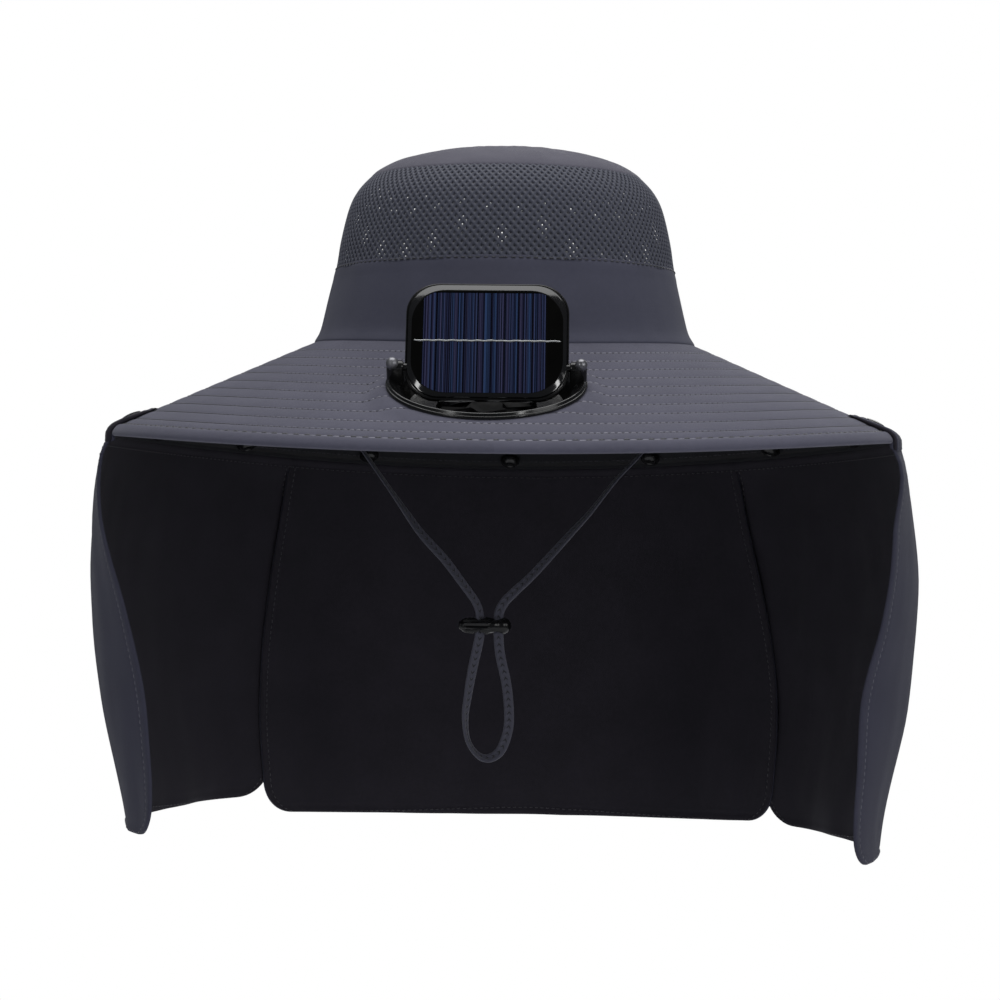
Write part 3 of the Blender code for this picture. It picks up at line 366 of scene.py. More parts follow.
def mix_node(tree, share, *colours):
    """Colour between two colours or sockets."""
    node = put_node(tree, "ShaderNodeMix", data_type="RGBA")
    feed(tree, node.inputs[0], share)
    for slot, colour in zip(MIX_COLOURS, colours):
        feed(tree, node.inputs[slot], colour)
    return node.outputs[MIX_RESULT]


def give_bump(tree, shader, height, strength, distance):
    """Relief of a shader from a height."""
    bump = put_node(tree, "ShaderNodeBump", Strength=strength, Distance=distance, Height=height)
    feed(tree, shader.inputs["Normal"], bump.outputs[0])


tape_paint, tape_tree, tape_shader = new_paint("tape_braid", TAPE_COLOUR, 0.75, Sheen_Weight=0.25)
tape_split = split_node(tape_tree, put_node(tape_tree, "ShaderNodeUVMap", uv_map="cloth").outputs[0])
tape_along = sum_node(tape_tree, "MULTIPLY", tape_split["Y"], 2 * math.pi / TAPE_BRAID_PITCH)
tape_bend = sum_node(tape_tree, "MULTIPLY", sum_node(tape_tree, "ABSOLUTE", tape_split["X"]),
                     2 * math.pi / TAPE_WIDTH * 1.6)
tape_chevron = sum_node(tape_tree, "SINE", sum_node(tape_tree, "ADD", tape_along, tape_bend))
tape_middle = sum_node(tape_tree, "COSINE", sum_node(
    tape_tree, "MULTIPLY", tape_split["X"], math.pi / TAPE_WIDTH * 1.5))
tape_hole = sum_node(tape_tree, "MULTIPLY", sum_node(tape_tree, "MAXIMUM", tape_middle, 0.0), tape_chevron)
tape_open = ease_node(tape_tree, tape_hole, 0.35, 0.75)
# The braid's openings take painted shade in their colour and are sunk in the relief
feed(tape_tree, tape_shader.inputs["Base Color"], mix_node(tape_tree, tape_open, TAPE_COLOUR, TAPE_GAP_SHADE))
tape_relief = sum_node(tape_tree, "SUBTRACT", sum_node(tape_tree, "MULTIPLY", tape_chevron, 0.3), tape_open)
give_bump(tape_tree, tape_shader, tape_relief, 0.8, 0.0003)

tape_line = smooth_line([Vector(point) for point in CORD_ROUTE], TAPE_STEPS)
tape_lengths = way_along(tape_line)
TAPE_LENGTH = tape_lengths[-1]
tape_sections = []
# Outline of the braid across its width: flat faces with soft edges, and a shallow groove along the middle
TAPE_OUTLINE = (
    # share of the half width, share of the half thickness
    (-1.0, 0.25), (-0.88, 0.85), (-0.55, 1.0), (-0.25, 0.9), (0.0, 0.55), (0.25, 0.9), (0.55, 1.0),
    (0.88, 0.85), (1.0, 0.25), (1.0, -0.25), (0.88, -0.85), (0.55, -1.0), (0.25, -0.9), (0.0, -0.55),
    (-0.25, -0.9), (-0.55, -1.0), (-0.88, -0.85), (-1.0, -0.25),
)
for index, point in enumerate(tape_line):
    before = tape_line[max(index - 1, 0)]
    after = tape_line[min(index + 1, len(tape_line) - 1)]
    run = (after - before).normalized()
    facing = Vector((0, -1, 0))
    side = run.cross(facing).normalized()
    facing = side.cross(run)
    turn = math.radians(read_table(TAPE_TWISTS, tape_lengths[index] / TAPE_LENGTH))
    across = side * math.cos(turn) + facing * math.sin(turn)
    out = facing * math.cos(turn) - side * math.sin(turn)
    tape_sections.append([
        point + across * wide * TAPE_WIDTH / 2 + out * thick * TAPE_THICKNESS / 2
        for wide, thick in TAPE_OUTLINE
    ])
tape_mesh = loft_mesh(
    "chin_tape", tape_sections, False,
    lambda index, corner: (TAPE_OUTLINE[corner][0] * TAPE_WIDTH / 2, tape_lengths[index]),
)
chin_tape = new_piece("chin_tape", tape_mesh, tape_paint)
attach(chin_tape, "hat")
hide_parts("chin_cord")


# The toggle: a moulded black barrel with two holes for the tape, a round end, lengthwise grip ribs and
# a sprung push button in its other end. The node's own solid is plain, so a ribbed one stands for it.
TOGGLE_LEFT = -0.0194
TOGGLE_RIGHT = 0.0052
TOGGLE_Y = -0.022
TOGGLE_Z = -0.1393
TOGGLE_RADIUS = 0.0042
TOGGLE_RIBS = 10
TOGGLE_RIB_DEPTH = 0.00035
TOGGLE_SIDES = 60
TOGGLE_STEPS = 30
TOGGLE_HOLE_RADIUS = 0.0028
TOGGLE_HOLES_X = (-0.0104, -0.0010)
BUTTON_RADIUS = 0.0022
BUTTON_LENGTH = 0.009
BUTTON_IN = 0.0080
BUTTON_SIDES = 24
# Clearance of a part that moves in a hole
MOVING_GAP = 0.0003
# Section of the push button: a rounded, slightly hollow end and a straight side
BUTTON_ROWS = (
    # share of the radius, depth
    (0.5, 0.0),
    (0.75, -0.0002),
    (0.93, 0.0002),
    (1.0, 0.0009),
    (1.0, BUTTON_LENGTH),
)
# Outline of the barrel from its button end to its round end
TOGGLE_ROWS = (
    # share of the length, share of the radius
    (0.0, 0.60),
    (0.02, 0.70),
    (0.12, 0.80),
    (0.30, 0.90),
    (0.50, 0.94),
    (0.62, 0.84),
    (0.70, 0.90),
    (0.76, 1.0),
    (0.84, 1.0),
    (0.91, 0.86),
    (0.96, 0.62),
    (0.99, 0.30),
)


def noise_node(tree, scale, detail, roughness):
    """Noise on the piece's own coordinates."""
    place = put_node(tree, "ShaderNodeTexCoord").outputs["Object"]
    return put_node(tree, "ShaderNodeTexNoise", Scale=scale, Detail=detail, Roughness=roughness,
                    Vector=place).outputs["Fac"]


def moulded_plastic(name, colour, roughness, grain, **gloss):
    """Moulded plastic: a faint uneven gloss with fine grain, and dust that sits in a soft cloud."""
    paint, tree, shader = new_paint(name, colour, roughness, **gloss)
    cloud = noise_node(tree, 90.0, 3.0, 0.6)
    dusty = tuple(value * 1.6 + 0.001 for value in colour)
    uneven = ease_node(tree, cloud, 0.3, 0.7, roughness * 0.8, roughness * 1.35)
    feed(tree, shader.inputs["Roughness"], uneven)
    feed(tree, shader.inputs["Base Color"], mix_node(tree, cloud, colour, dusty))
    give_bump(tree, shader, noise_node(tree, 2600.0, 2.0, 0.5), grain, 0.0001)
    return paint


def solid_of(name, build, weld=True):
    """Mesh of a bmesh that a function fills, welded and facing out."""
    working = bmesh.new()
    build(working)
    if weld:
        bmesh.ops.remove_doubles(working, verts=working.verts, dist=1e-6)
        bmesh.ops.recalc_face_normals(working, faces=working.faces)
    mesh = bpy.data.meshes.new(name)
    working.to_mesh(mesh)
    working.free()
    return mesh


def join_rings(working, rings, closed_ends=False):
    """Walls between rings of as many points each, with a face over the first and last ring if wanted."""
    walls = []
    for here, there in zip(rings, rings[1:]):
        for index in range(len(here)):
            after = (index + 1) % len(here)
            corners = (here[index], here[after], there[after], there[index])
            walls.append(working.faces.new(list(dict.fromkeys(corners))))
    if closed_ends:
        walls += [working.faces.new(rings[0]), working.faces.new(rings[-1])]
    return walls


def turns(count):
    """Angles of even steps once round."""
    return [2 * math.pi * step / count for step in range(count)]


def smooth_shade(mesh, degrees):
    """Smooth shading, with edges sharp past an angle."""
    mesh.shade_smooth()
    mesh.set_sharp_from_angle(angle=math.radians(degrees))


def bake(item):
    """Make an object's mesh what its modifiers give, and remove them."""
    made = bpy.data.meshes.new_from_object(item.evaluated_get(bpy.context.evaluated_depsgraph_get()))
    item.modifiers.clear()
    item.data = made


def cut_or_join(item, tools, operation):
    """Boolean an object with several others, which are then removed."""
    for tool in tools:
        change = item.modifiers.new("change", "BOOLEAN")
        change.operation = operation
        change.object = tool
        change.solver = "EXACT"
    bake(item)
    for tool in tools:
        bpy.data.objects.remove(tool)


def tool_of(build, paint):
    """Solid that only cuts or joins another one."""
    return new_piece("tool", solid_of("tool", build), paint)


def cylinder_tool(radius, length, matrix, sides=32):
    """Cylinder along the matrix's Z axis, centred on it."""
    def build(working):
        bmesh.ops.create_cone(working, cap_ends=True, segments=sides, radius1=radius, radius2=radius,
                              depth=length, matrix=matrix)
    return tool_of(build, black_plastic)


black_plastic = moulded_plastic("black_plastic", (0.0035, 0.0035, 0.004), 0.22, 0.1, Specular_IOR_Level=0.35)
toggle_length = TOGGLE_RIGHT - TOGGLE_LEFT


def toggle_body(working):
    """Turned barrel whose ribs fade towards its round end."""
    rings = []
    for step in range(TOGGLE_STEPS + 1):
        along = TOGGLE_ROWS[-1][0] * step / TOGGLE_STEPS
        radius = TOGGLE_RADIUS * read_table(TOGGLE_ROWS, along)
        ribs = TOGGLE_RIB_DEPTH * (1 - smooth_step((along - 0.5) / 0.15)) * smooth_step(along / 0.08)
        ring = []
        for turn in turns(TOGGLE_SIDES):
            here = radius + ribs * math.cos(TOGGLE_RIBS * turn)
            ring.append(working.verts.new((
                TOGGLE_LEFT + toggle_length * along,
                TOGGLE_Y + here * math.sin(turn),
                TOGGLE_Z + here * math.cos(turn),
            )))
        rings.append(ring)
    tip = working.verts.new((TOGGLE_RIGHT, TOGGLE_Y, TOGGLE_Z))
    join_rings(working, rings + [[tip] * TOGGLE_SIDES])
    working.faces.new(rings[0])


toggle = new_piece("toggle_barrel", solid_of("toggle_barrel", toggle_body), black_plastic)
toggle_tools = [
    cylinder_tool(TOGGLE_HOLE_RADIUS, 0.02, Matrix.Translation((x, TOGGLE_Y, TOGGLE_Z)))
    for x in TOGGLE_HOLES_X
]
along_x = Matrix.Rotation(math.pi / 2, 4, "Y")
toggle_tools.append(cylinder_tool(
    BUTTON_RADIUS + MOVING_GAP, 0.012, Matrix.Translation((TOGGLE_LEFT, TOGGLE_Y, TOGGLE_Z)) @ along_x))
cut_or_join(toggle, toggle_tools, "DIFFERENCE")
smooth_shade(toggle.data, 40)
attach(toggle, "hat")
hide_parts("cord_toggle")


def button_body(working):
    """Push button with a rounded, slightly hollow end."""
    join_rings(working, [[working.verts.new((
        TOGGLE_LEFT + BUTTON_IN - BUTTON_LENGTH + depth,
        TOGGLE_Y + BUTTON_RADIUS * share * math.sin(turn),
        TOGGLE_Z + BUTTON_RADIUS * share * math.cos(turn),
    )) for turn in turns(BUTTON_SIDES)] for share, depth in BUTTON_ROWS], closed_ends=True)


button = new_piece("toggle_push", solid_of("toggle_push", button_body), black_plastic)
smooth_shade(button.data, 50)
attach(button, "hat")
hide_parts("toggle_button")


# The crown's cap: one oval of slate polyester cloth, eased onto the net band with a turned seam that
# draws its edge in all round.
SEAM_RADIUS = 0.094
CROWN_HEIGHT = 0.0975
SEAM_DIP = 0.0044
CROWN_WALL = 0.0015
CROWN_COLUMNS = 144
CROWN_MEAN_GIRTH = 0.85
BAND_TOP_SHARE = 0.385
NET_TOP_SHARE = 0.84
# Shares of the crown's height and of the seam radius, from the brim's seam to the top
CROWN_ROWS = (
    # height, radius
    (0.0, 1.0),
    (0.067, 0.973),
    (0.23, 0.933),
    (0.385, 0.897),
    (0.52, 0.875),
    (0.68, 0.835),
    (0.77, 0.790),
    (0.84, 0.725),
    (0.886, 0.662),
    (0.935, 0.540),
    (0.980, 0.320),
    (1.0, 0.0),
)
CAP_EASE = 0.00035
# The cap's tones are lighter than the same slate cloth's on the brim and band: painted light from above on
# the crown's top
CAP_TOP_LIT_LIGHT = (0.118, 0.113, 0.145)
CAP_TOP_LIT_DARK = (0.094, 0.090, 0.118)
WEAVE_PITCH = 0.00055


def new_group(name, kind, inputs, outputs):
    """Node group with named inputs and outputs, and the sockets of its own two ends."""
    group = bpy.data.node_groups.new(name, kind)
    for way, sockets in (("INPUT", inputs), ("OUTPUT", outputs)):
        for label, socket in sockets:
            group.interface.new_socket(label, in_out=way, socket_type="NodeSocket" + socket)
    return group, group.nodes.new("NodeGroupInput").outputs, group.nodes.new("NodeGroupOutput").inputs


def weave_group():
    """Node group: plain weave of a cloth whose UV map is in metres. It gives a height and a tone."""
    group, entry, leave = new_group(
        "plain_weave", "ShaderNodeTree", (("Cloth UV", "Vector"), ("Pitch", "Float")),
        (("Height", "Float"), ("Tone", "Float")))
    scaled = put_node(group, "ShaderNodeVectorMath", operation="SCALE",
                      Scale=sum_node(group, "DIVIDE", 2 * math.pi, entry["Pitch"]))
    feed(group, scaled.inputs[0], entry["Cloth UV"])
    parts = split_node(group, scaled.outputs[0])
    crossing = sum_node(group, "MULTIPLY", *[sum_node(group, "SINE", parts[axis]) for axis in "XY"])
    slub, broad = [
        put_node(group, "ShaderNodeTexNoise", Scale=scale, Detail=detail, Roughness=roughness,
                 Vector=entry["Cloth UV"]).outputs["Fac"]
        for scale, detail, roughness in ((420.0, 4.0, 0.65), (38.0, 3.0, 0.55))
    ]
    feed(group, leave["Height"], sum_node(group, "ADD", crossing, sum_node(group, "MULTIPLY", slub, 1.4)))
    mottle = sum_node(group, "ADD", sum_node(group, "MULTIPLY", slub, 0.45),
                      sum_node(group, "MULTIPLY", broad, 0.55))
    feed(group, leave["Tone"], sum_node(group, "ADD", mottle, sum_node(group, "MULTIPLY", crossing, 0.08)))
    return group


plain_weave = weave_group()


def cloth_paint(name, dark, light, sheen):
    """Plain woven polyester in two close tones, with its weave and slubs as relief."""
    paint, tree, shader = new_paint(name, light, 0.82, Sheen_Weight=sheen, Sheen_Roughness=0.45,
                                    Specular_IOR_Level=0.3)
    marks = put_node(tree, "ShaderNodeUVMap", uv_map="cloth").outputs[0]
    weave = put_node(tree, "ShaderNodeGroup", node_tree=plain_weave, Pitch=WEAVE_PITCH, Cloth_UV=marks)
    ease = ease_node(tree, weave.outputs["Tone"], 0.3, 0.72)
    feed(tree, shader.inputs["Base Color"], mix_node(tree, ease, dark, light))
    give_bump(tree, shader, weave.outputs["Height"], 0.35, 0.00012)
    return paint


def by_direction(front, side, rear, angle):
    """Value that runs smoothly round the hat; the angle is 0 in front and pi behind."""
    mean = (front + rear + 2 * side) / 4
    saddle = (front + rear - 2 * side) / 4
    return mean + saddle * math.cos(2 * angle) + (front - rear) / 2 * math.cos(angle)


def around(radius, height, angle):
    """Point at a radius and height, the angle counted from the front towards +X."""
    return Vector((radius * math.sin(angle), -radius * math.cos(angle), height))


def seam_height(angle):
    """Height of the seam between crown and brim."""
    return by_direction(-SEAM_DIP, 0.0, -SEAM_DIP, angle)


crown_line = [
    Vector((SEAM_RADIUS * max(point.y, 0.0), 0.0, CROWN_HEIGHT * point.x))
    for point in smooth_line([Vector((height, radius, 0.0)) for height, radius in CROWN_ROWS], 12)
]
crown_lengths = way_along(crown_line)


def crown_length(height_share):
    """Way up along the crown's outline to a share of its height."""
    for index, point in enumerate(crown_line):
        if point.z >= height_share * CROWN_HEIGHT - 1e-7:
            return crown_lengths[index]
    return crown_lengths[-1]


def crown_place(length, angle, inward=0.0):
    """Point on the crown at a way up its outline (straight down under 0), sunk by a depth."""
    index = 0
    held = min(max(length, 0.0), crown_lengths[-1])
    while index < len(crown_lengths) - 2 and crown_lengths[index + 1] < held:
        index += 1
    share = (held - crown_lengths[index]) / (crown_lengths[index + 1] - crown_lengths[index])
    here = crown_line[index].lerp(crown_line[index + 1], share)
    last = min(index + 4, len(crown_line) - 1)
    run = (crown_line[last] - crown_line[max(index - 3, 0)]).normalized()
    radius = max(here.x - run.z * inward, 0.0)
    height = here.z + run.x * inward + min(length, 0.0)
    dip = seam_height(angle) * max(0.0, 1 - here.z / (BAND_TOP_SHARE * CROWN_HEIGHT))
    return around(radius, height + dip, angle)


BAND_TOP = crown_length(BAND_TOP_SHARE)
NET_TOP = crown_length(NET_TOP_SHARE)
CROWN_END = crown_lengths[-1]


def crown_shell(name, stops, relief, columns, wall, paint):
    """Cloth ring of the crown between rows at the given ways up, with a relief and a wall."""
    sections = []
    for angle in turns(columns):
        outer = [crown_place(stop, angle, -relief(stop, angle)) for stop in stops]
        inner = [crown_place(stop, angle, wall - relief(stop, angle) * 0.5) for stop in stops]
        sections.append(outer + inner[::-1])
    size = len(stops)
    girth = 2 * math.pi * SEAM_RADIUS * CROWN_MEAN_GIRTH
    mesh = loft_mesh(name, sections, True, lambda index, corner: (
        girth * index / columns, stops[corner if corner < size else 2 * size - 1 - corner]))
    return new_piece(name, mesh, paint)


def cap_relief(stop, angle):
    """Dip of the seam along the cap's edge, and the slight easing of the cloth above it."""
    from_edge = stop - NET_TOP
    edge = -0.0004 * (1 - smooth_step(from_edge / 0.0012))
    eased = CAP_EASE * noise.noise(Vector((math.cos(angle) * 9, math.sin(angle) * 9, stop * 60)))
    fade = smooth_step(from_edge / 0.006) * (1 - smooth_step((from_edge - 0.035) / 0.02))
    return edge + eased * fade


slate_cloth = cloth_paint("slate_cloth", CAP_TOP_LIT_DARK, CAP_TOP_LIT_LIGHT, 0.12)
cap_stops = [NET_TOP + 0.0002 + share * 0.008 for share in (
    0.0, 0.03, 0.08, 0.15, 0.25, 0.38, 0.52, 0.72, 1.0)]
cap_stops += [cap_stops[-1] + (CROWN_END - cap_stops[-1]) * step / 26 for step in range(1, 27)]
crown_cap = crown_shell("cap_cloth", cap_stops, cap_relief, CROWN_COLUMNS, CROWN_WALL, slate_cloth)
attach(crown_cap, "hat")
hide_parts("crown_top")


# The crown's plain band: one ring of the same cloth between net and brim. Its top edge is folded over
# the net's raw edge and topstitched, and its foot is sewn into the brim's seam.
BAND_FOLD = 0.0001
BAND_FOLD_WIDTH = 0.0052
# The band is the cap's cloth in darker tones: painted shade on the crown's upright wall
BAND_WALL_SHADED_LIGHT = (0.079, 0.080, 0.116)
BAND_WALL_SHADED_DARK = (0.064, 0.065, 0.095)
BAND_STITCH_DOWN = 0.0013
BAND_FOOT_SEWN_IN = 0.0012


def band_relief(stop, angle):
    """Folded edge on top, pinched at its stitches, and the pull of the seam at the foot."""
    from_top = BAND_TOP - stop
    fold = BAND_FOLD * (1 - smooth_step((from_top - BAND_FOLD_WIDTH) / 0.0012))
    pinch = -0.0003 * math.exp(-((from_top - BAND_STITCH_DOWN) / 0.0007) ** 2)
    edge = -0.0005 * (1 - smooth_step(from_top / 0.0008))
    foot = 0.0008 * math.exp(-(stop / 0.004) ** 2)
    eased = 0.0005 * noise.noise(Vector((math.cos(angle) * 6, math.sin(angle) * 6, stop * 30)))
    return fold + pinch + edge + foot + eased * smooth_step(stop / 0.006)


band_paint = cloth_paint("band_cloth", BAND_WALL_SHADED_DARK, BAND_WALL_SHADED_LIGHT, 0.1)
band_stops = [-BAND_FOOT_SEWN_IN, 0.0001, 0.0006, 0.0014, 0.0028, 0.0045]
band_stops += [0.0045 + (BAND_TOP - 0.0135) * step / 12 for step in range(1, 13)]
band_stops += [BAND_TOP - down for down in (
    0.0082, 0.0064, 0.0052, 0.0042, 0.0032, 0.0024, 0.0020, 0.0016, 0.0013, 0.0010, 0.0006, 0.0003, 0.0001)]
crown_band = crown_shell("band_cloth", band_stops, band_relief, CROWN_COLUMNS, CROWN_WALL, band_paint)
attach(crown_band, "hat")
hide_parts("crown_band")


# The crown's net: one ring of knitted polyester mesh with diamond holes. It is caught under the cap's
# seam above and under the band's folded edge below.
NET_COLUMNS = 136
NET_ROW_COUNT = 26
NET_THREAD = 0.0008
NET_HOLE = 0.215
NET_DEEP = 0.0005
NET_COLOUR = (0.056, 0.060, 0.088)


def net_cell(working):
    """One diamond of the net, its threads meeting those of its neighbours along the edges."""
    corners = ((1, 0), (0.5, 0.5), (0, 1), (-0.5, 0.5), (-1, 0), (-0.5, -0.5), (0, -1), (0.5, -0.5))
    whole = [1.0] * len(corners)
    hole = [NET_HOLE * share for share in (0.98, 1.1, 1.0, 1.1, 0.98, 1.1, 1.0, 1.1)]
    join_rings(working, [
        [working.verts.new((x / 2 * share, y / 2 * share, level)) for (x, y), share in zip(corners, shares)]
        for level, shares in ((0.5, whole), (0.0, hole), (-0.5, whole))
    ])


def baked_piece(name, group, carrier, inputs, helpers):
    """Piece made by a node group on a carrier mesh; the modifier and the helpers are then removed."""
    item = new_piece(name, carrier)
    change = item.modifiers.new("make", "NODES")
    change.node_group = group
    for socket in group.interface.items_tree:
        if socket.in_out == "INPUT" and socket.name in inputs:
            change[socket.identifier] = inputs[socket.name]
    bake(item)
    for helper in helpers:
        bpy.data.objects.remove(helper)
    return item


def combine_node(tree, *parts):
    """Vector of three sockets or numbers."""
    return put_node(tree, "ShaderNodeCombineXYZ", **dict(zip("XYZ", parts))).outputs[0]


def wrapped_net_group():
    """Node group: a staggered lattice of cells, wrapped round the crown along its outline."""
    group, entry, leave = new_group("wrapped_net", "GeometryNodeTree", (
        ("Geometry", "Geometry"), ("Cell", "Object"), ("Outline", "Object"), ("Columns", "Int"),
        ("Rows", "Int"), ("Length", "Float"), ("Thread", "Float"), ("Paint", "Material"),
    ), (("Geometry", "Geometry"),))
    count = sum_node(group, "MULTIPLY", entry["Columns"], entry["Rows"])
    index = put_node(group, "GeometryNodeInputIndex").outputs[0]
    row = sum_node(group, "FLOOR", sum_node(group, "DIVIDE", index, entry["Columns"]))
    column = sum_node(group, "MODULO", index, entry["Columns"])
    stagger = sum_node(group, "MULTIPLY", sum_node(group, "MODULO", row, 2.0), 0.5)
    pitch = sum_node(group, "DIVIDE", entry["Length"], sum_node(group, "SUBTRACT", entry["Rows"], 1.0))
    lattice = combine_node(group, sum_node(group, "ADD", column, stagger),
                           sum_node(group, "MULTIPLY", row, pitch))
    points = put_node(group, "GeometryNodePoints", Count=count, Position=lattice)
    cell = put_node(group, "GeometryNodeObjectInfo", Object=entry["Cell"])
    size = combine_node(group, 1.0, sum_node(group, "MULTIPLY", pitch, 2.0), entry["Thread"])
    scatter = put_node(group, "GeometryNodeInstanceOnPoints", Points=points.outputs[0],
                       Instance=cell.outputs["Geometry"], Scale=size)
    real = put_node(group, "GeometryNodeRealizeInstances", Geometry=scatter.outputs[0])
    where = split_node(group, put_node(group, "GeometryNodeInputPosition").outputs[0])
    turn = sum_node(group, "MULTIPLY", sum_node(group, "DIVIDE", where["X"], entry["Columns"]), 2 * math.pi)
    outline = put_node(group, "GeometryNodeObjectInfo", Object=entry["Outline"])
    sample = put_node(group, "GeometryNodeSampleCurve", mode="LENGTH", use_all_curves=True,
                      Curves=outline.outputs["Geometry"], Length=where["Y"])
    here = split_node(group, sample.outputs["Position"])
    run = split_node(group, sample.outputs["Tangent"])
    radius = sum_node(group, "ADD", here["X"], sum_node(group, "MULTIPLY", run["Z"], where["Z"]))
    height = sum_node(group, "SUBTRACT", here["Z"], sum_node(group, "MULTIPLY", run["X"], where["Z"]))
    forward = sum_node(group, "MULTIPLY", sum_node(group, "COSINE", turn), -1.0)
    wrapped = combine_node(group, sum_node(group, "MULTIPLY", radius, sum_node(group, "SINE", turn)),
                           sum_node(group, "MULTIPLY", radius, forward), height)
    move = put_node(group, "GeometryNodeSetPosition", Geometry=real.outputs[0], Position=wrapped)
    weld = put_node(group, "GeometryNodeMergeByDistance", Geometry=move.outputs[0], Distance=0.00005)
    finish = put_node(group, "GeometryNodeSetMaterial", Geometry=weld.outputs[0], Material=entry["Paint"])
    feed(group, leave["Geometry"], finish.outputs[0])
    return group


net_paint, net_tree, net_shader = new_paint("net_cloth", NET_COLOUR, 0.7, Sheen_Weight=0.15)
give_bump(net_tree, net_shader, noise_node(net_tree, 1400.0, 2.0, 0.6), 0.5, 0.0001)

net_low = BAND_TOP - 0.0022
net_high = NET_TOP + 0.0022
outline_data = bpy.data.curves.new("net_outline", "CURVE")
outline_data.dimensions = "3D"
outline_spline = outline_data.splines.new("POLY")
outline_steps = 80
outline_spline.points.add(outline_steps)
for step, spot in enumerate(outline_spline.points):
    on_front = crown_place(net_low + (net_high - net_low) * step / outline_steps, math.pi / 2, NET_DEEP)
    spot.co = (on_front.x, 0.0, on_front.z, 1.0)
net_outline = new_piece("net_outline", outline_data)
cell_mesh = solid_of("net_cell", net_cell, weld=False)
cell_mesh.shade_smooth()
net_piece_cell = new_piece("net_cell", cell_mesh)
crown_net = baked_piece("net_ring", wrapped_net_group(), bpy.data.meshes.new("net_ring"), {
    "Cell": net_piece_cell, "Outline": net_outline, "Columns": NET_COLUMNS, "Rows": NET_ROW_COUNT,
    "Length": net_high - net_low, "Thread": NET_THREAD, "Paint": net_paint,
}, (net_piece_cell, net_outline))
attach(crown_net, "hat")
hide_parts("crown_net")


# The brim: slate cloth fused to a stiff interlining and quilted by rows of topstitching round the crown.
# Its edge is one soft roll, and a flat seat under the fan is pressed into the slope in front.
BRIM_RADIUS = 0.195
BRIM_WALL = 0.0024
BRIM_INNER_RADIUS = 0.0943
BRIM_UNDER_IN = 0.0060
CLOTH_MARK_RADIUS = 0.15
SEW_GAP = 0.0003
RIM_DROP_FRONT = 0.0545
RIM_DROP_SIDE = 0.0447
RIM_DROP_REAR = 0.0565
QUILT_FIRST = 0.1048
QUILT_LAST = 0.1831
QUILT_ROWS = 10
QUILT_DEPTH = 0.00035
QUILT_PUFF = 0.00016
RIM_ROW = 0.1898
RIM_ROW_DEPTH = 0.0006
UNIT_X = -0.005
UNIT_OUT = 0.138
BASE_HALF_WIDTH = 0.0452
BASE_HALF_DEPTH = 0.038
UNIT_FLAT_MARGIN = 0.0005
UNIT_FLAT_FADE = 0.22
RIM_SLOPE_FRONT = (RIM_DROP_FRONT - SEAM_DIP) / (BRIM_RADIUS - SEAM_RADIUS)
UNIT_TILT = math.atan(RIM_SLOPE_FRONT)
BRIM_COLUMNS = 288
# The brim's tones are a little darker than the cap's slate cloth: painted shade for the brim's front, given
# to the whole brim
BRIM_OVERALL_SHADED_LIGHT = (0.103, 0.101, 0.142)
BRIM_OVERALL_SHADED_DARK = (0.079, 0.078, 0.111)
LINING_COLOUR = (0.015, 0.015, 0.019)
LINING_SHADE = (0.010, 0.010, 0.013)
# The brim's rolled edge, from the last quilting row round to the underside
ROLL_ROWS = (
    # short of the rim radius, above the rim height
    (0.0044, 0.0024),
    (0.0038, 0.0024),
    (0.0030, 0.0021),
    (0.0021, 0.0015),
    (0.0013, 0.0007),
    (0.0006, -0.0003),
    (0.0001, -0.0013),
    (0.0, -0.0022),
    (0.0003, -0.0029),
    (0.0010, -0.0034),
    (0.0019, -0.0033),
    (0.0027, -0.0027),
    (0.0032, -0.0017),
)


def rim_height(angle):
    """Height of the brim's top at the rim."""
    return by_direction(-RIM_DROP_FRONT, -RIM_DROP_SIDE, -RIM_DROP_REAR, angle)


def unit_share(x, y):
    """1 where the brim is flat under the fan, fading to 0 round it."""
    half_depth = (BASE_HALF_DEPTH + UNIT_FLAT_MARGIN) * math.cos(UNIT_TILT)
    away = math.hypot((x - UNIT_X) / (BASE_HALF_WIDTH + UNIT_FLAT_MARGIN), (y + UNIT_OUT) / half_depth)
    from_seam = math.hypot(x, y) - SEAM_RADIUS
    near_seam = smooth_step(from_seam / (UNIT_OUT - SEAM_RADIUS - BASE_HALF_DEPTH * math.cos(UNIT_TILT)))
    return (1 - smooth_step((away - 1) / UNIT_FLAT_FADE)) * near_seam


def brim_height(radius, angle):
    """Height of the brim's top."""
    share = (radius - SEAM_RADIUS) / (BRIM_RADIUS - SEAM_RADIUS)
    inner = seam_height(angle)
    cone = inner + (rim_height(angle) - inner) * share
    place = around(radius, 0.0, angle)
    flat = -SEAM_DIP - RIM_SLOPE_FRONT * (-place.y - SEAM_RADIUS)
    return cone + (flat - cone) * unit_share(place.x, place.y)


quilt_pitch = (QUILT_LAST - QUILT_FIRST) / (QUILT_ROWS - 1)


def quilt_relief(radius):
    """Groove at each row of quilting and the puff of the cloth between two rows."""
    rows_in = (radius - QUILT_FIRST) / quilt_pitch
    from_row = abs(rows_in - round(rows_in)) * quilt_pitch
    if rows_in < -0.5:
        return 0.0
    if rows_in > QUILT_ROWS - 0.5:
        return -RIM_ROW_DEPTH * math.exp(-((radius - RIM_ROW) / 0.0009) ** 2)
    return QUILT_PUFF * math.sin(min(from_row / quilt_pitch, 0.5) * math.pi) - QUILT_DEPTH * math.exp(
        -(from_row / 0.0008) ** 2)


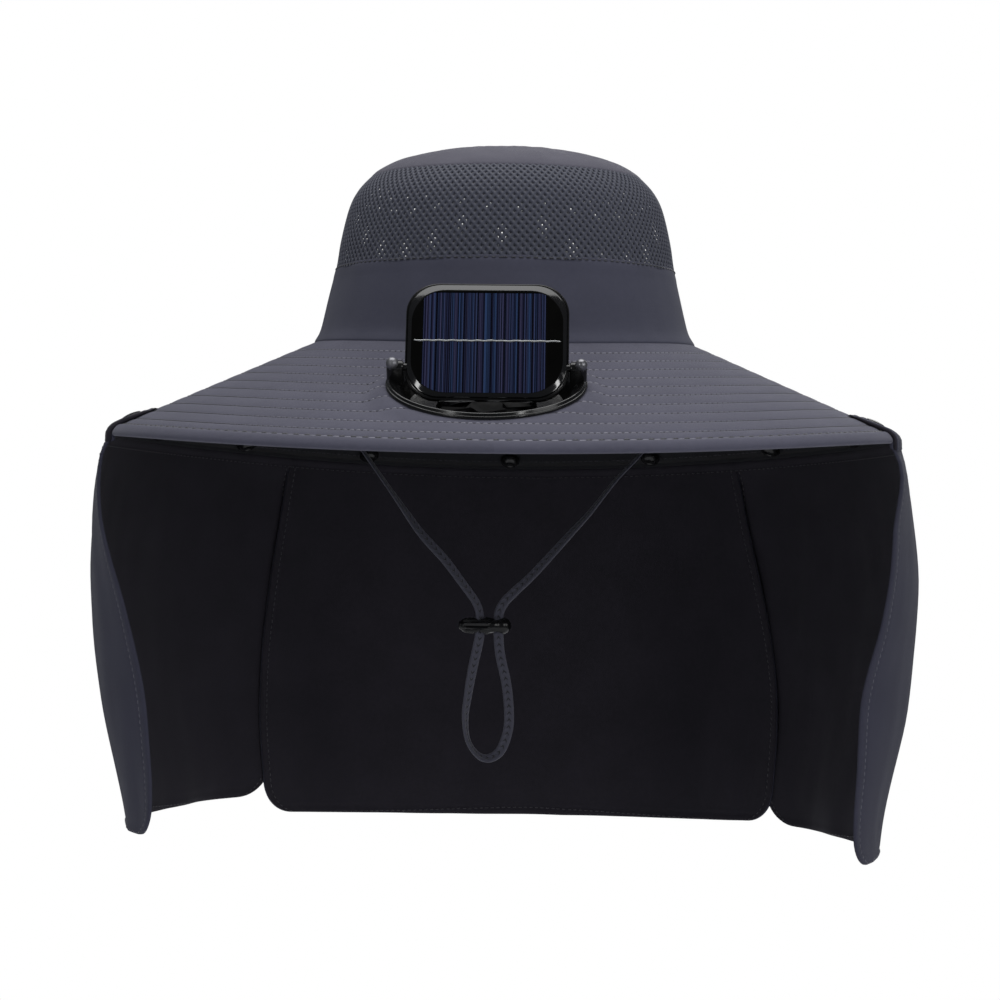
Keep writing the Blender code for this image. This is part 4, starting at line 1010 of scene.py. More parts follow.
brim_stops = [BRIM_INNER_RADIUS, 0.0946, 0.0952, 0.0965, 0.0985, 0.1010]
for row in range(QUILT_ROWS):
    middle = QUILT_FIRST + quilt_pitch * row
    brim_stops += [middle + step for step in (-0.0014, -0.0007, 0.0, 0.0007, 0.0014)]
    if row < QUILT_ROWS - 1:
        brim_stops += [middle + quilt_pitch * share for share in (0.32, 0.5, 0.68)]
brim_stops += [0.1855, 0.1870, 0.1882, 0.1890, 0.1894, 0.1898, 0.1902]
brim_cloth_paint = cloth_paint("brim_cloth", BRIM_OVERALL_SHADED_DARK, BRIM_OVERALL_SHADED_LIGHT, 0.15)
lining_paint = cloth_paint("black_lining", LINING_SHADE, LINING_COLOUR, 0.05)
brim_sections = []
for angle in turns(BRIM_COLUMNS):
    top = [around(stop, brim_height(stop, angle) + quilt_relief(stop), angle) for stop in brim_stops]
    roll = [around(BRIM_RADIUS - short, rim_height(angle) + above, angle) for short, above in ROLL_ROWS]
    under_from = BRIM_RADIUS - BRIM_UNDER_IN
    under_stops = [under_from - (under_from - BRIM_INNER_RADIUS) * step / 9 for step in range(10)]
    under = [around(stop, brim_height(stop, angle) - BRIM_WALL, angle) for stop in under_stops]
    brim_sections.append(top + roll + under)
brim_across = brim_stops + [BRIM_RADIUS + 0.001 * step for step in range(len(ROLL_ROWS))]
brim_across += [BRIM_RADIUS + 0.02 + 0.01 * step for step in range(10)]
brim_mesh = loft_mesh("brim_cloth", brim_sections, True, lambda index, corner: (
    2 * math.pi * CLOTH_MARK_RADIUS * index / BRIM_COLUMNS, brim_across[corner]))
brim_piece = new_piece("brim_cloth", brim_mesh, brim_cloth_paint, lining_paint)
for face in brim_mesh.polygons:
    spot = face.center
    turned = math.atan2(spot.x, -spot.y)
    under_edge = rim_height(turned) - 0.0027
    inside = math.hypot(spot.x, spot.y) < BRIM_RADIUS - 0.0008
    below = spot.z < brim_height(math.hypot(spot.x, spot.y), turned) - BRIM_WALL / 2
    face.material_index = 1 if inside and (spot.z < under_edge or below) else 0
unit_place = Matrix.Translation((UNIT_X, -UNIT_OUT, -SEAM_DIP - RIM_SLOPE_FRONT * (UNIT_OUT - SEAM_RADIUS)))
unit_place = unit_place @ Matrix.Rotation(UNIT_TILT, 4, "X")
FLANGE = 0.0047
HOLE_HALF_WIDTH = BASE_HALF_WIDTH - FLANGE
HOLE_HALF_DEPTH = BASE_HALF_DEPTH - FLANGE


def fan_hole():
    """Tool that cuts the oval hole for the fan through brim and lining."""
    oval = Matrix.Diagonal((HOLE_HALF_WIDTH, HOLE_HALF_DEPTH, 1.0, 1.0))
    return cylinder_tool(1.0, 0.05, unit_place @ oval, 64)


cut_or_join(brim_piece, [fan_hole()], "DIFFERENCE")
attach(brim_piece, "hat")
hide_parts("brim")


# The lining under the brim: one thin black cloth from the seam to the rolled edge.
LINING_WALL = 0.0008
LINING_RADIUS = 0.1911
lining_stops = [BRIM_INNER_RADIUS + (LINING_RADIUS - BRIM_INNER_RADIUS) * step / 16 for step in range(17)]
lining_sections = []
for angle in turns(BRIM_COLUMNS):
    upper = [around(stop, brim_height(stop, angle) - BRIM_WALL - SEW_GAP, angle) for stop in lining_stops]
    lower = [point - Vector((0, 0, LINING_WALL)) for point in upper]
    lining_sections.append(upper + lower[::-1])
lining_across = lining_stops + lining_stops[::-1]
lining_mesh = loft_mesh("brim_under_cloth", lining_sections, True, lambda index, corner: (
    2 * math.pi * CLOTH_MARK_RADIUS * index / BRIM_COLUMNS, lining_across[corner]), back=0)
lining_piece = new_piece("brim_under_cloth", lining_mesh, lining_paint)
cut_or_join(lining_piece, [fan_hole()], "DIFFERENCE")
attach(lining_piece, "hat")
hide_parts("brim_lining")


# The flap's band: two cloths sewn edge to edge, lapped over the brim's rim round the back and both
# sides and held by nine snaps. Its hemmed front ends are thick and stand a little off the brim.
FLAP_WALL = 0.0016
FLAP_LAP = 0.022
FLAP_END = math.radians(106.5)
FLAP_END_LIFT = 0.0002
FLAP_END_LIFT_SPAN = math.radians(3.5)
BAND_HEM = 0.0005
BAND_HEM_SPAN = 0.008
BAND_END_THINNING = 0.0004
# Span at the band's left end, in radians, whose outer face takes the black inner cloth as painted shade
BAND_END_SHADE_SPAN = 0.04
BAND_COLUMNS = 330
BAND_CROWDING = 0.55
BAND_STITCH_IN = 0.0030
FLAP_COLOUR = (0.049, 0.049, 0.077)
FLAP_SHADE = (0.039, 0.039, 0.062)
INNER_COLOUR = (0.0260, 0.0225, 0.0325)
INNER_SHADE = (0.0175, 0.0155, 0.0220)
# Where the band lies on the rim, below its lapped part
BAND_EDGE_ROWS = (
    # short of the rim radius, above the rim height
    (0.0018, 0.0005),
    (0.0007, -0.0006),
    (0.0001, -0.0019),
    (0.0, -0.0034),
    (0.0, -0.0048),
    (-0.0001, -0.0056),
    (0.0001, -0.0061),
)

flap_outer_paint = cloth_paint("flap_outer_cloth", FLAP_SHADE, FLAP_COLOUR, 0.12)
flap_inner_paint = cloth_paint("flap_inner_cloth", INNER_SHADE, INNER_COLOUR, 0.08)
band_lap_stops = [BRIM_RADIUS - FLAP_LAP + step for step in (
    0.0, 0.0003, 0.0009, 0.0018, 0.0024, 0.0030, 0.0036, 0.0045, 0.0065, 0.0090, 0.0115, 0.0140,
    0.0165, 0.0190)]


def lap_relief(across, to_end):
    """Stand-off of the band's outer face: rounded edges, thick hems, stitch grooves and the snaps' pull."""
    edge = -0.0006 * (1 - smooth_step(across / 0.0010)) - 0.0005 * (1 - smooth_step(across / 0.008))
    groove = -0.00035 * math.exp(-((across - BAND_STITCH_IN) / 0.0007) ** 2)
    hem = BAND_HEM * (1 - smooth_step((to_end - BAND_HEM_SPAN) / 0.0015)) * smooth_step(to_end / 0.0012)
    hem *= smooth_step(across / 0.014)
    thin_end = -BAND_END_THINNING * (1 - smooth_step(across / 0.016)) * (1 - smooth_step(to_end / 0.025))
    end_groove = -0.0006 * math.exp(-((to_end - BAND_HEM_SPAN + 0.0018) / 0.0008) ** 2)
    return edge + groove + hem + end_groove + thin_end


def band_line(angle, to_end):
    """Line across the lapped band at an angle: its points on the brim and their outward directions."""
    lift = FLAP_END_LIFT * (1 - smooth_step(to_end / BRIM_RADIUS / FLAP_END_LIFT_SPAN))
    spots = [(stop, brim_height(stop, angle) + lift) for stop in band_lap_stops]
    rim = rim_height(angle)
    for index, (short, above) in enumerate(BAND_EDGE_ROWS):
        spots.append((BRIM_RADIUS - short, rim + above + lift * max(0.0, 1 - index / 3)))
    line = []
    for index, (radius, height) in enumerate(spots):
        before = spots[max(index - 1, 0)]
        after = spots[min(index + 1, len(spots) - 1)]
        run = Vector((after[0] - before[0], after[1] - before[1])).normalized()
        line.append((Vector((radius, height)), Vector((-run.y, run.x))))
    return line


band_sections = []
band_size = len(band_lap_stops) + len(BAND_EDGE_ROWS)
band_marks = []
for column in range(BAND_COLUMNS + 1):
    share = column / BAND_COLUMNS
    eased = share - BAND_CROWDING * math.sin(4 * math.pi * share) / (4 * math.pi)
    angle = math.pi - FLAP_END + 2 * FLAP_END * eased
    to_end = (FLAP_END - abs(angle - math.pi)) * BRIM_RADIUS
    outer, inner = [], []
    for place, out in band_line(angle, to_end):
        across = place.x - (BRIM_RADIUS - FLAP_LAP)
        ripple = 0.0004 * noise.noise(Vector((angle * 40, place.x * 200, 3.0))) * smooth_step(across / 0.004)
        face = place + out * (SEW_GAP + FLAP_WALL + lap_relief(across, to_end) + ripple)
        back = place + out * SEW_GAP
        outer.append(around(face.x, face.y, angle))
        inner.append(around(back.x, back.y, angle))
    band_sections.append(outer + inner[::-1])
    band_marks.append(angle * BRIM_RADIUS)
band_mesh = loft_mesh("flap_band_cloth", band_sections, False, lambda index, corner: (
    band_marks[index], 0.0015 * min(corner, 2 * band_size - 1 - corner)))
flap_band = new_piece("flap_band_cloth", band_mesh, flap_outer_paint, flap_inner_paint)
# Near its left end the band's outer face takes the black inner cloth: painted shade where the end stands off
# the brim; at the right end only the end face does
for face in band_mesh.polygons:
    end_shade_span = 0.0005 if face.center.x > 0 else BAND_END_SHADE_SPAN
    if FLAP_END - abs(math.atan2(face.center.x, face.center.y)) < end_shade_span:
        face.material_index = 1
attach(flap_band, "hat")
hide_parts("flap_band")


# The flap's three panels: grey cloth outside and black inside, turned and topstitched along a hem. They
# hang from the band's foot, the side panels over the back one, with soft folds and front edges that curl.
FLAP_PROUD = SEW_GAP + FLAP_WALL
FLAP_DROP_LEFT = 0.242
FLAP_DROP_BACK = 0.257
FLAP_DROP_RIGHT = 0.252
FLAP_BULGE = 0.010
FLAP_WAVE = 0.0015
FLAP_CURL_LEFT = 0.022
FLAP_CURL_RIGHT = 0.020
FLAP_CURL_SPAN = math.radians(19)
FLAP_OVERLAP = math.radians(3)
FLAP_STEP = 0.0026
# Radius of a side panel's rear and front bottom corner, and of both of the back panel's
SIDE_CORNERS = (0.028, 0.014)
BACK_CORNERS = (0.018, 0.018)
BACK_HEM_ROUND = 0.005
SLIT_LEFT = (math.radians(39), math.radians(6))
SLIT_RIGHT = (math.radians(40.5), math.radians(10.5))
PANEL_TUCK = 0.0042
PANEL_HEM = 0.0048
PANEL_HEM_RISE = 0.0002
PANEL_STITCH_IN = 0.0040
# Hang of the flap: how far it stands out from the rim, as a share of its bulge
HANG_ROWS = ((0.0, 0.0), (0.12, 0.55), (0.33, 1.0), (0.62, 0.55), (0.88, -0.65), (1.0, -1.0))
# How far the side panels' front edges curl in, as a share of the curl
CURL_LEFT_ROWS = ((0.0, -0.05), (0.03, -0.10), (0.085, -0.03), (0.14, 0.06), (0.19, 0.15), (0.40, 0.73),
                  (0.62, 1.0), (0.82, 0.86), (1.0, 0.5))
CURL_RIGHT_ROWS = ((0.0, 0.02), (0.047, -0.04), (0.136, 0.22), (0.19, 0.38), (0.40, 0.68), (0.60, 1.0),
                   (0.82, 0.62), (1.0, 0.3))


def panel_top(from_rear):
    """Height where the hanging part starts, below the band."""
    return rim_height(math.pi - from_rear) - 0.0066


def corner_inset(radius, above_bottom):
    """How far a rounded corner draws an edge in."""
    if above_bottom >= radius:
        return 0.0
    return radius - math.sqrt(max(radius ** 2 - (radius - above_bottom) ** 2, 0.0))


def slit_angle(slit, down, drop):
    """Angle of a slit from the rear at a way down."""
    top = panel_top(slit[0])
    return slit[0] + slit[1] * smooth_step((top + drop) * down / (top + FLAP_DROP_BACK))


def fold_relief(seed, from_rear, down):
    """Soft vertical folds and small dents of hanging cloth; they start at the band and grow downwards."""
    lines = noise.noise(Vector((from_rear * 6.0 + seed, down * 0.8, seed)))
    dents = noise.noise(Vector((from_rear * 17.0, down * 4.5, seed + 4.0)))
    return (0.0022 * lines * smooth_step(down / 0.5) + 0.0007 * dents) * smooth_step(down / 0.12)


def uneven_steps(count, crowd):
    """Shares from 0 to 1, closer together at both ends."""
    steps = [index / count for index in range(count + 1)]
    return [share - crowd * math.sin(2 * math.pi * share) / (2 * math.pi) for share in steps]


def flap_panel(name, node, side, drop, slits, corners, curl, curl_rows, seed, columns):
    """One hanging panel as a closed wall of outer and inner cloth, and the rows of points of its outer face.

    slits holds the near and the far edge: a slit, or the band's end for None. corners holds the radius
    at each of them.
    """
    low = -drop
    length = drop - (RIM_DROP_SIDE if side else RIM_DROP_REAR)
    largest = max(corners)
    downs = [-PANEL_TUCK / length, -0.0026 / length, -0.0012 / length, 0.0, 0.006, 0.015, 0.03]
    straight = 1 - largest / length
    downs += [0.03 + (straight - 0.03) * step / 26 for step in range(1, 27)]
    downs += [1 - largest / length * (1 - math.sin(math.pi / 2 * step / 14)) for step in range(1, 15)]
    sections, marks = [], []
    across_steps = uneven_steps(columns, 0.8)
    for across in across_steps:
        outer, inner, places = [], [], []
        for down in downs:
            held = max(down, 0.0)
            above = (1 - held) * length
            if side:
                tuck = FLAP_OVERLAP * (0.3 + 0.7 * smooth_step(held / 0.3))
                near = slit_angle(slits[0], held, drop) + SEW_GAP / BRIM_RADIUS - tuck
                near += corner_inset(corners[0], above) / BRIM_RADIUS
                far = FLAP_END - corner_inset(corners[1], above) / BRIM_RADIUS
            else:
                drawn_in = [(corner_inset(corner, above) + SEW_GAP) / BRIM_RADIUS for corner in corners]
                near = drawn_in[0] - slit_angle(slits[0], held, drop)
                far = slit_angle(slits[1], held, drop) - drawn_in[1]
            from_rear = near + (far - near) * across
            top = panel_top(from_rear)
            bottom = low if side else low + BACK_HEM_ROUND * (2 * across - 1) ** 2
            height = top + (bottom - top) * held
            fallen = (top - height) / (top + FLAP_DROP_BACK)
            signed = from_rear * (side or 1)
            radius = BRIM_RADIUS + FLAP_PROUD + FLAP_BULGE * read_table(HANG_ROWS, fallen)
            radius += FLAP_WAVE * fallen * math.sin(5 * signed + 0.6)
            if side:
                past = (from_rear - near - 2 * FLAP_OVERLAP) / (4 * FLAP_OVERLAP)
                radius += FLAP_STEP * smooth_step(held / 0.05) * (1 - smooth_step(past))
                curled = max(0.0, (from_rear - FLAP_END + FLAP_CURL_SPAN) / FLAP_CURL_SPAN)
                radius -= curl * read_table(curl_rows, held) * curled ** 2
            radius += fold_relief(seed, from_rear, held)
            if down < 0:
                height = top - down * length
                out_of_band = 1 - smooth_step(-down * length / 0.0012)
                radius = BRIM_RADIUS + 0.0001 + (radius - BRIM_RADIUS) * out_of_band
            wide = (far - near) * BRIM_RADIUS
            to_edge = min(across * wide, (1 - across) * wide, above)
            hem = PANEL_HEM_RISE * (1 - smooth_step((to_edge - PANEL_HEM) / 0.0012))
            hem -= 0.0004 * (1 - smooth_step(to_edge / 0.0010))
            hem -= 0.00035 * math.exp(-((to_edge - PANEL_STITCH_IN) / 0.0008) ** 2)
            hem *= smooth_step((down + 0.001) / 0.01)
            for spots, here in ((outer, radius + hem), (inner, radius - FLAP_WALL - hem)):
                x = (side or 1) * here * math.sin(from_rear)
                spots.append(Vector((x, here * math.cos(from_rear), height)))
            places.append((from_rear * BRIM_RADIUS, height))
        sections.append(outer + inner[::-1])
        marks.append(places + places[::-1])
    mesh = loft_mesh(name, sections, False, lambda index, corner: marks[index][corner])
    panel = new_piece(name, mesh, flap_outer_paint, flap_inner_paint)
    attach(panel, "hat")
    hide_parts(node)
    return panel, sections


flap_left, left_rows = flap_panel(
    "flap_left_cloth", "flap_left", -1, FLAP_DROP_LEFT, (SLIT_LEFT, None), SIDE_CORNERS,
    FLAP_CURL_LEFT, CURL_LEFT_ROWS, seed=2.3, columns=72)
flap_right, right_rows = flap_panel(
    "flap_right_cloth", "flap_right", 1, FLAP_DROP_RIGHT, (SLIT_RIGHT, None), SIDE_CORNERS,
    FLAP_CURL_RIGHT, CURL_RIGHT_ROWS, seed=7.7, columns=72)
flap_back, back_rows = flap_panel(
    "flap_back_cloth", "flap_back", 0, FLAP_DROP_BACK, (SLIT_LEFT, SLIT_RIGHT), BACK_CORNERS,
    0.0, None, seed=5.1, columns=90)


# The snaps: nine black moulded press studs, each a domed cap on the band and a ringed socket with its
# stud under the lining, on one post through all the cloths.
SNAP_COUNT = 9
SNAP_SPACING = math.radians(25.7)
SNAP_INSET = 0.011
SNAP_SIDES = 36
# Section of a snap from the middle of its cap to the middle of its socket
SNAP_PROFILE = (
    # radius, height over the brim's top
    (0.0, 0.0031),
    (0.0016, 0.0030),
    (0.0031, 0.0028),
    (0.0041, 0.0026),
    (0.0048, 0.0023),
    (0.0050, 0.0021),
    (0.0046, 0.0017),
    (0.0015, 0.0017),
    (0.0015, -0.0039),
    (0.0047, -0.0039),
    (0.0053, -0.0042),
    (0.0055, -0.0050),
    (0.0052, -0.0060),
    (0.0045, -0.0069),
    (0.0035, -0.0076),
    (0.0029, -0.0077),
    (0.0024, -0.0073),
    (0.0014, -0.0071),
    (0.0, -0.0071),
)


def turned_mesh(name, profile, sides):
    """Closed mesh of a profile of (radius, height) turned about the Z axis."""
    def build(working):
        rings = []
        for radius, height in profile:
            if radius == 0.0:
                rings.append([working.verts.new((0.0, 0.0, height))] * sides)
            else:
                rings.append([working.verts.new((radius * math.cos(turn), radius * math.sin(turn), height))
                              for turn in turns(sides)])
        join_rings(working, rings)
    mesh = solid_of(name, build)
    smooth_shade(mesh, 55)
    return mesh


def spread_group():
    """Node group: one piece on every point of a mesh, turned by the points' own directions."""
    group, entry, leave = new_group("spread_pieces", "GeometryNodeTree", (
        ("Geometry", "Geometry"), ("Piece", "Object"), ("Paint", "Material"),
        ("Length", "Float"), ("Width", "Float"),
    ), (("Geometry", "Geometry"),))
    piece = put_node(group, "GeometryNodeObjectInfo", Object=entry["Piece"])
    lift, along = [
        put_node(group, "GeometryNodeInputNamedAttribute", data_type="FLOAT_VECTOR",
                 Name=label).outputs["Attribute"]
        for label in ("lift", "along")
    ]
    turn = put_node(group, "FunctionNodeAxesToRotation", primary_axis="Z", secondary_axis="X",
                    Primary_Axis=lift, Secondary_Axis=along)
    size = combine_node(group, entry["Length"], entry["Width"], entry["Width"])
    scatter = put_node(group, "GeometryNodeInstanceOnPoints", Points=entry["Geometry"],
                       Instance=piece.outputs["Geometry"], Rotation=turn.outputs[0], Scale=size)
    real = put_node(group, "GeometryNodeRealizeInstances", Geometry=scatter.outputs[0])
    finish = put_node(group, "GeometryNodeSetMaterial", Geometry=real.outputs[0], Material=entry["Paint"])
    feed(group, leave["Geometry"], finish.outputs[0])
    return group


spread_pieces = spread_group()


def spread_piece(name, spots, piece_mesh, paint, length=1.0, width=1.0):
    """One piece made of copies of a mesh, at spots of (place, lift, along)."""
    carrier = bpy.data.meshes.new(name)
    carrier.from_pydata([tuple(place) for place, lift, along in spots], [], [])
    for label, position in (("lift", 1), ("along", 2)):
        layer = carrier.attributes.new(label, "FLOAT_VECTOR", "POINT")
        layer.data.foreach_set("vector", [value for spot in spots for value in spot[position]])
    helper = new_piece(name + "_one", piece_mesh)
    return baked_piece(name, spread_pieces, carrier, {
        "Piece": helper, "Paint": paint, "Length": length, "Width": width,
    }, (helper,))


def brim_spot(radius, angle, rise):
    """Place over the brim's top, its upward normal and its direction round the hat."""
    place = around(radius, brim_height(radius, angle), angle)
    outward = around(radius + 0.001, brim_height(radius + 0.001, angle), angle) - place
    along = (around(radius, brim_height(radius, angle + 0.001), angle + 0.001) - place).normalized()
    lift = outward.cross(along).normalized()
    if lift.z < 0:
        lift.negate()
    return place + lift * rise, lift, along


snap_spots = [
    brim_spot(BRIM_RADIUS - SNAP_INSET, math.pi + (index - (SNAP_COUNT - 1) / 2) * SNAP_SPACING, 0.0)
    for index in range(SNAP_COUNT)
]
snap_paint = moulded_plastic("snap_plastic", (0.006, 0.006, 0.0065), 0.22, 0.05)
snap_mesh = turned_mesh("press_stud", SNAP_PROFILE, SNAP_SIDES)
snaps = spread_piece("press_studs", snap_spots, snap_mesh, snap_paint)
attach(snaps, "hat")
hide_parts(*["snap_%d" % (index + 1) for index in range(SNAP_COUNT)])


# The fan housing: a glossy black oval moulding set in the brim. It has a flat flange, a raised rim with
# two edges, a shallow dish and a round duct, and an ear with a ball-ended hinge pin at each side.
BASE_COLUMNS = 112
PANEL_WIDTH = 0.0734
EAR_INNER = PANEL_WIDTH / 2 + 0.0005
EAR_THICKNESS = 0.0076
EAR_RADIUS = 0.0029
EAR_FOOT = -0.0012
# Section of an ear from its inner to its outer side
EAR_ROWS = (
    # across, inside its outline
    (0.0, 0.0008),
    (0.0003, 0.0002),
    (0.0008, 0.0),
    (0.0062, 0.0),
    (0.0070, 0.0004),
    (0.0074, 0.0010),
    (0.0076, 0.0018),
)
HINGE_HEIGHT = 0.0073
HINGE_SETBACK = 0.0027
PIN_RADIUS = 0.0016
KNOB_RADIUS = 0.0028
# Section of the housing down its outer side, over the rim and into the dish
BASE_ROWS = (
    # inside the outer oval, height over the brim's plane
    (0.0, 0.0003),
    (0.0, 0.0010),
    (0.0002, 0.0014),
    (0.0005, 0.0016),
    (0.0008, 0.0016),
    (0.0010, 0.0018),
    (0.0011, 0.0023),
    (0.0014, 0.0027),
    (0.0018, 0.0028),
    (0.0023, 0.0026),
    (0.0031, 0.0020),
    (0.0044, 0.0011),
    (0.0060, 0.0001),
    (0.0075, -0.0018),
    (0.0084, -0.0044),
    (0.0093, -0.0072),
    (0.0104, -0.0090),
    (0.0120, -0.0095),
)
BASE_BACK_ROWS = (
    # inside the outer oval, height over the brim's plane
    (0.0094, -0.0113),
    (0.0072, -0.0095),
    (0.0060, -0.0030),
    (0.0054, 0.0003),
)
DUCT_ROWS = (
    # radius, height over the brim's plane
    (0.0236, -0.0096),
    (0.0226, -0.0098),
    (0.0221, -0.0103),
    (0.0220, -0.0112),
    (0.0220, -0.0200),
    (0.0238, -0.0200),
    (0.0238, -0.0113),
)

glossy_black = moulded_plastic("glossy_black", (0.004, 0.004, 0.0042), 0.17, 0.02)


def base_point(angle, inset, height):
    """Point of the housing inside its outer oval."""
    x = (BASE_HALF_WIDTH - inset) * math.cos(angle)
    return Vector((x, (BASE_HALF_DEPTH - inset) * math.sin(angle), height))


base_sections = []
for angle in turns(BASE_COLUMNS):
    section = [base_point(angle, *row) for row in BASE_ROWS]
    section += [Vector((radius * math.cos(angle), radius * math.sin(angle), height))
                for radius, height in DUCT_ROWS]
    section += [base_point(angle, *row) for row in BASE_BACK_ROWS]
    base_sections.append([unit_place @ point for point in section])
base_mesh = loft_mesh("fan_housing", base_sections, True,
                      lambda index, corner: (0.001 * index, 0.001 * corner), back=0)
fan_base = new_piece("fan_housing", base_mesh, glossy_black)


def ear_tool(side):
    """One hinge ear: an upright slab with a round top and rounded edges."""
    def build(working):
        rings = []
        for across, inset in EAR_ROWS:
            radius = EAR_RADIUS - inset
            points = [(HINGE_SETBACK + radius * math.cos(math.pi * step / 20),
                       HINGE_HEIGHT + radius * math.sin(math.pi * step / 20)) for step in range(21)]
            points += [(HINGE_SETBACK - radius, EAR_FOOT), (HINGE_SETBACK + radius, EAR_FOOT)]
            x = side * (EAR_INNER + across)
            rings.append([working.verts.new(unit_place @ Vector((x, y, z))) for y, z in points])
        join_rings(working, rings, closed_ends=True)
    return tool_of(build, glossy_black)


def knob_middle(side):
    """Middle of the ball end of a hinge pin."""
    return unit_place @ Vector((
        side * (EAR_INNER + EAR_THICKNESS - 0.0026), HINGE_SETBACK - 0.0012, HINGE_HEIGHT + 0.0022))


def knob_tool(side):
    """Ball end of a hinge pin, half sunk in its ear's outer corner."""
    def build(working):
        bmesh.ops.create_uvsphere(working, u_segments=28, v_segments=18, radius=KNOB_RADIUS,
                                  matrix=Matrix.Translation(knob_middle(side)))
    return tool_of(build, glossy_black)


hinge_place = unit_place @ Matrix.Translation((0, HINGE_SETBACK, HINGE_HEIGHT))
cut_or_join(fan_base, [ear_tool(-1), ear_tool(1), knob_tool(-1), knob_tool(1)], "UNION")
cut_or_join(fan_base, [cylinder_tool(
    PIN_RADIUS + MOVING_GAP, 2 * EAR_INNER + 0.0072, hinge_place @ along_x)], "DIFFERENCE")
# The pins' ball ends are nickel-plated steel
pin_steel = moulded_plastic("pin_steel", (0.20, 0.20, 0.215), 0.36, 0.03, Metallic=0.8)
fan_base.data.materials.append(pin_steel)
for face in fan_base.data.polygons:
    if min((face.center - knob_middle(side)).length for side in (-1, 1)) < KNOB_RADIUS * 1.01:
        face.material_index = len(fan_base.data.materials) - 1
smooth_shade(fan_base.data, 38)
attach(fan_base, "hat")
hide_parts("fan_base")
# Inside the duct the mouldings are left matt from the tool
duct_black = moulded_plastic("duct_black", (0.0024, 0.0024, 0.0027), 0.55, 0.15, Specular_IOR_Level=0.12)
for node in ("fan_collar", "fan_guard", "fan_rotor"):
    for place in bpy.data.objects[node].material_slots:
        place.material = duct_black


# The solar panel: a flat black moulding with big round corners that tilts on its two pins. Its bevel is
# narrow along the sides and wide at the corners and the top, where it catches the light.
PANEL_ABOVE_HINGE = 0.0408
PANEL_BELOW_HINGE = 0.016
PANEL_THICKNESS = 0.005
PANEL_LEAN = math.radians(20)
CELL_WIDTH = 0.0554
CELL_HEIGHT = 0.0485
CELL_THICKNESS = 0.0007
POCKET_ROOM = 0.0006
CELL_SHIFT = -0.0013
CELL_DROP = 0.0013
CORNER_STEPS = 14
# Rings of the frame from its back to its face
PANEL_RINGS = (
    # side inset, top inset, bottom inset, corner radius, height over the middle plane
    (0.0012, 0.0012, 0.0012, 0.0133, -0.0025),
    (0.0004, 0.0004, 0.0004, 0.0141, -0.0021),
    (0.0, 0.0, 0.0, 0.0145, -0.0014),
    (0.0, 0.0, 0.0, 0.0145, 0.0004),
    (0.0002, 0.0002, 0.0002, 0.0145, 0.0008),
    (0.0005, 0.0005, 0.0005, 0.0145, 0.0009),
    (0.0007, 0.0008, 0.0007, 0.0146, 0.0006),
    (0.0009, 0.0011, 0.0009, 0.0147, 0.0007),
    (0.0010, 0.0012, 0.0010, 0.0148, 0.0014),
    (0.0011, 0.0013, 0.0011, 0.0149, 0.00172),
    (0.0013, 0.0016, 0.0013, 0.0150, 0.00186),
    (0.0024, 0.0036, 0.0025, 0.0155, 0.00231),
    (0.0027, 0.0041, 0.0028, 0.0156, 0.0025),
)
INNER_RING = (0.0028, 0.0042, 0.0029, 0.0157)
RESIN_RING = 8

panel_place = hinge_place @ Matrix.Rotation(math.pi / 2 - PANEL_LEAN - UNIT_TILT, 4, "X")
panel_middle = (PANEL_ABOVE_HINGE - PANEL_BELOW_HINGE) / 2


def panel_ring(working, side, top, bottom, radius, level):
    """Ring of points of a rounded rectangle in the panel's plane."""
    high = PANEL_ABOVE_HINGE - top
    low = -PANEL_BELOW_HINGE + bottom
    half = PANEL_WIDTH / 2 - side
    ring = []
    for x, y, start in (
        (half - radius, high - radius, 0), (radius - half, high - radius, 1),
        (radius - half, low + radius, 2), (half - radius, low + radius, 3),
    ):
        for step in range(CORNER_STEPS + 1):
            turn = (start + step / CORNER_STEPS) * math.pi / 2
            point = Vector((x + radius * math.cos(turn), y + radius * math.sin(turn), level))
            ring.append(working.verts.new(panel_place @ point))
    return ring


def frame_body(working):
    """Closed body of the frame through its rings; its face takes the second material, its resin the third."""
    rings = [panel_ring(working, *row) for row in PANEL_RINGS]
    for index, face in enumerate(join_rings(working, rings)):
        face.material_index = 2 if index >= RESIN_RING * len(rings[0]) else 0
    working.faces.new(rings[0])
    working.faces.new(rings[-1]).material_index = 1


def panel_box(width, height, depth, level):
    """Tool that cuts the cells' pocket in the panel's face."""
    def build(working):
        bmesh.ops.create_cube(working, size=1.0, matrix=panel_place @ Matrix.Translation(
            (CELL_SHIFT, panel_middle - CELL_DROP, level)) @ Matrix.Diagonal((width, height, depth, 1.0)))
    return tool_of(build, glossy_black)


face_black = moulded_plastic("panel_face", (0.0022, 0.0022, 0.0020), 0.14, 0.02, Specular_IOR_Level=0.05)
resin_edge = moulded_plastic("resin_edge", (0.004, 0.004, 0.0045), 0.07, 0.01, Specular_IOR_Level=0.75)
frame_mesh = solid_of("panel_frame", frame_body)
frame_piece = new_piece("panel_frame", frame_mesh, glossy_black, face_black, resin_edge)


def inner_prism():
    """Tool: the area inside the resin's chamfer, a few millimetres thick."""
    def build(working):
        rings = [panel_ring(working, *INNER_RING, level) for level in (0.0, 0.004)]
        join_rings(working, rings, closed_ends=True)
    return tool_of(build, glossy_black)


cut_or_join(frame_piece, [cylinder_tool(
    PIN_RADIUS, 2 * EAR_INNER + 0.006, panel_place @ along_x)], "UNION")
pocket = panel_box(CELL_WIDTH + POCKET_ROOM, CELL_HEIGHT + POCKET_ROOM, 0.002, PANEL_THICKNESS / 2)
cut_or_join(pocket, [inner_prism()], "INTERSECT")
cut_or_join(frame_piece, [pocket], "DIFFERENCE")
smooth_shade(frame_piece.data, 28)
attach(frame_piece, "panel")
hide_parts("solar_panel")


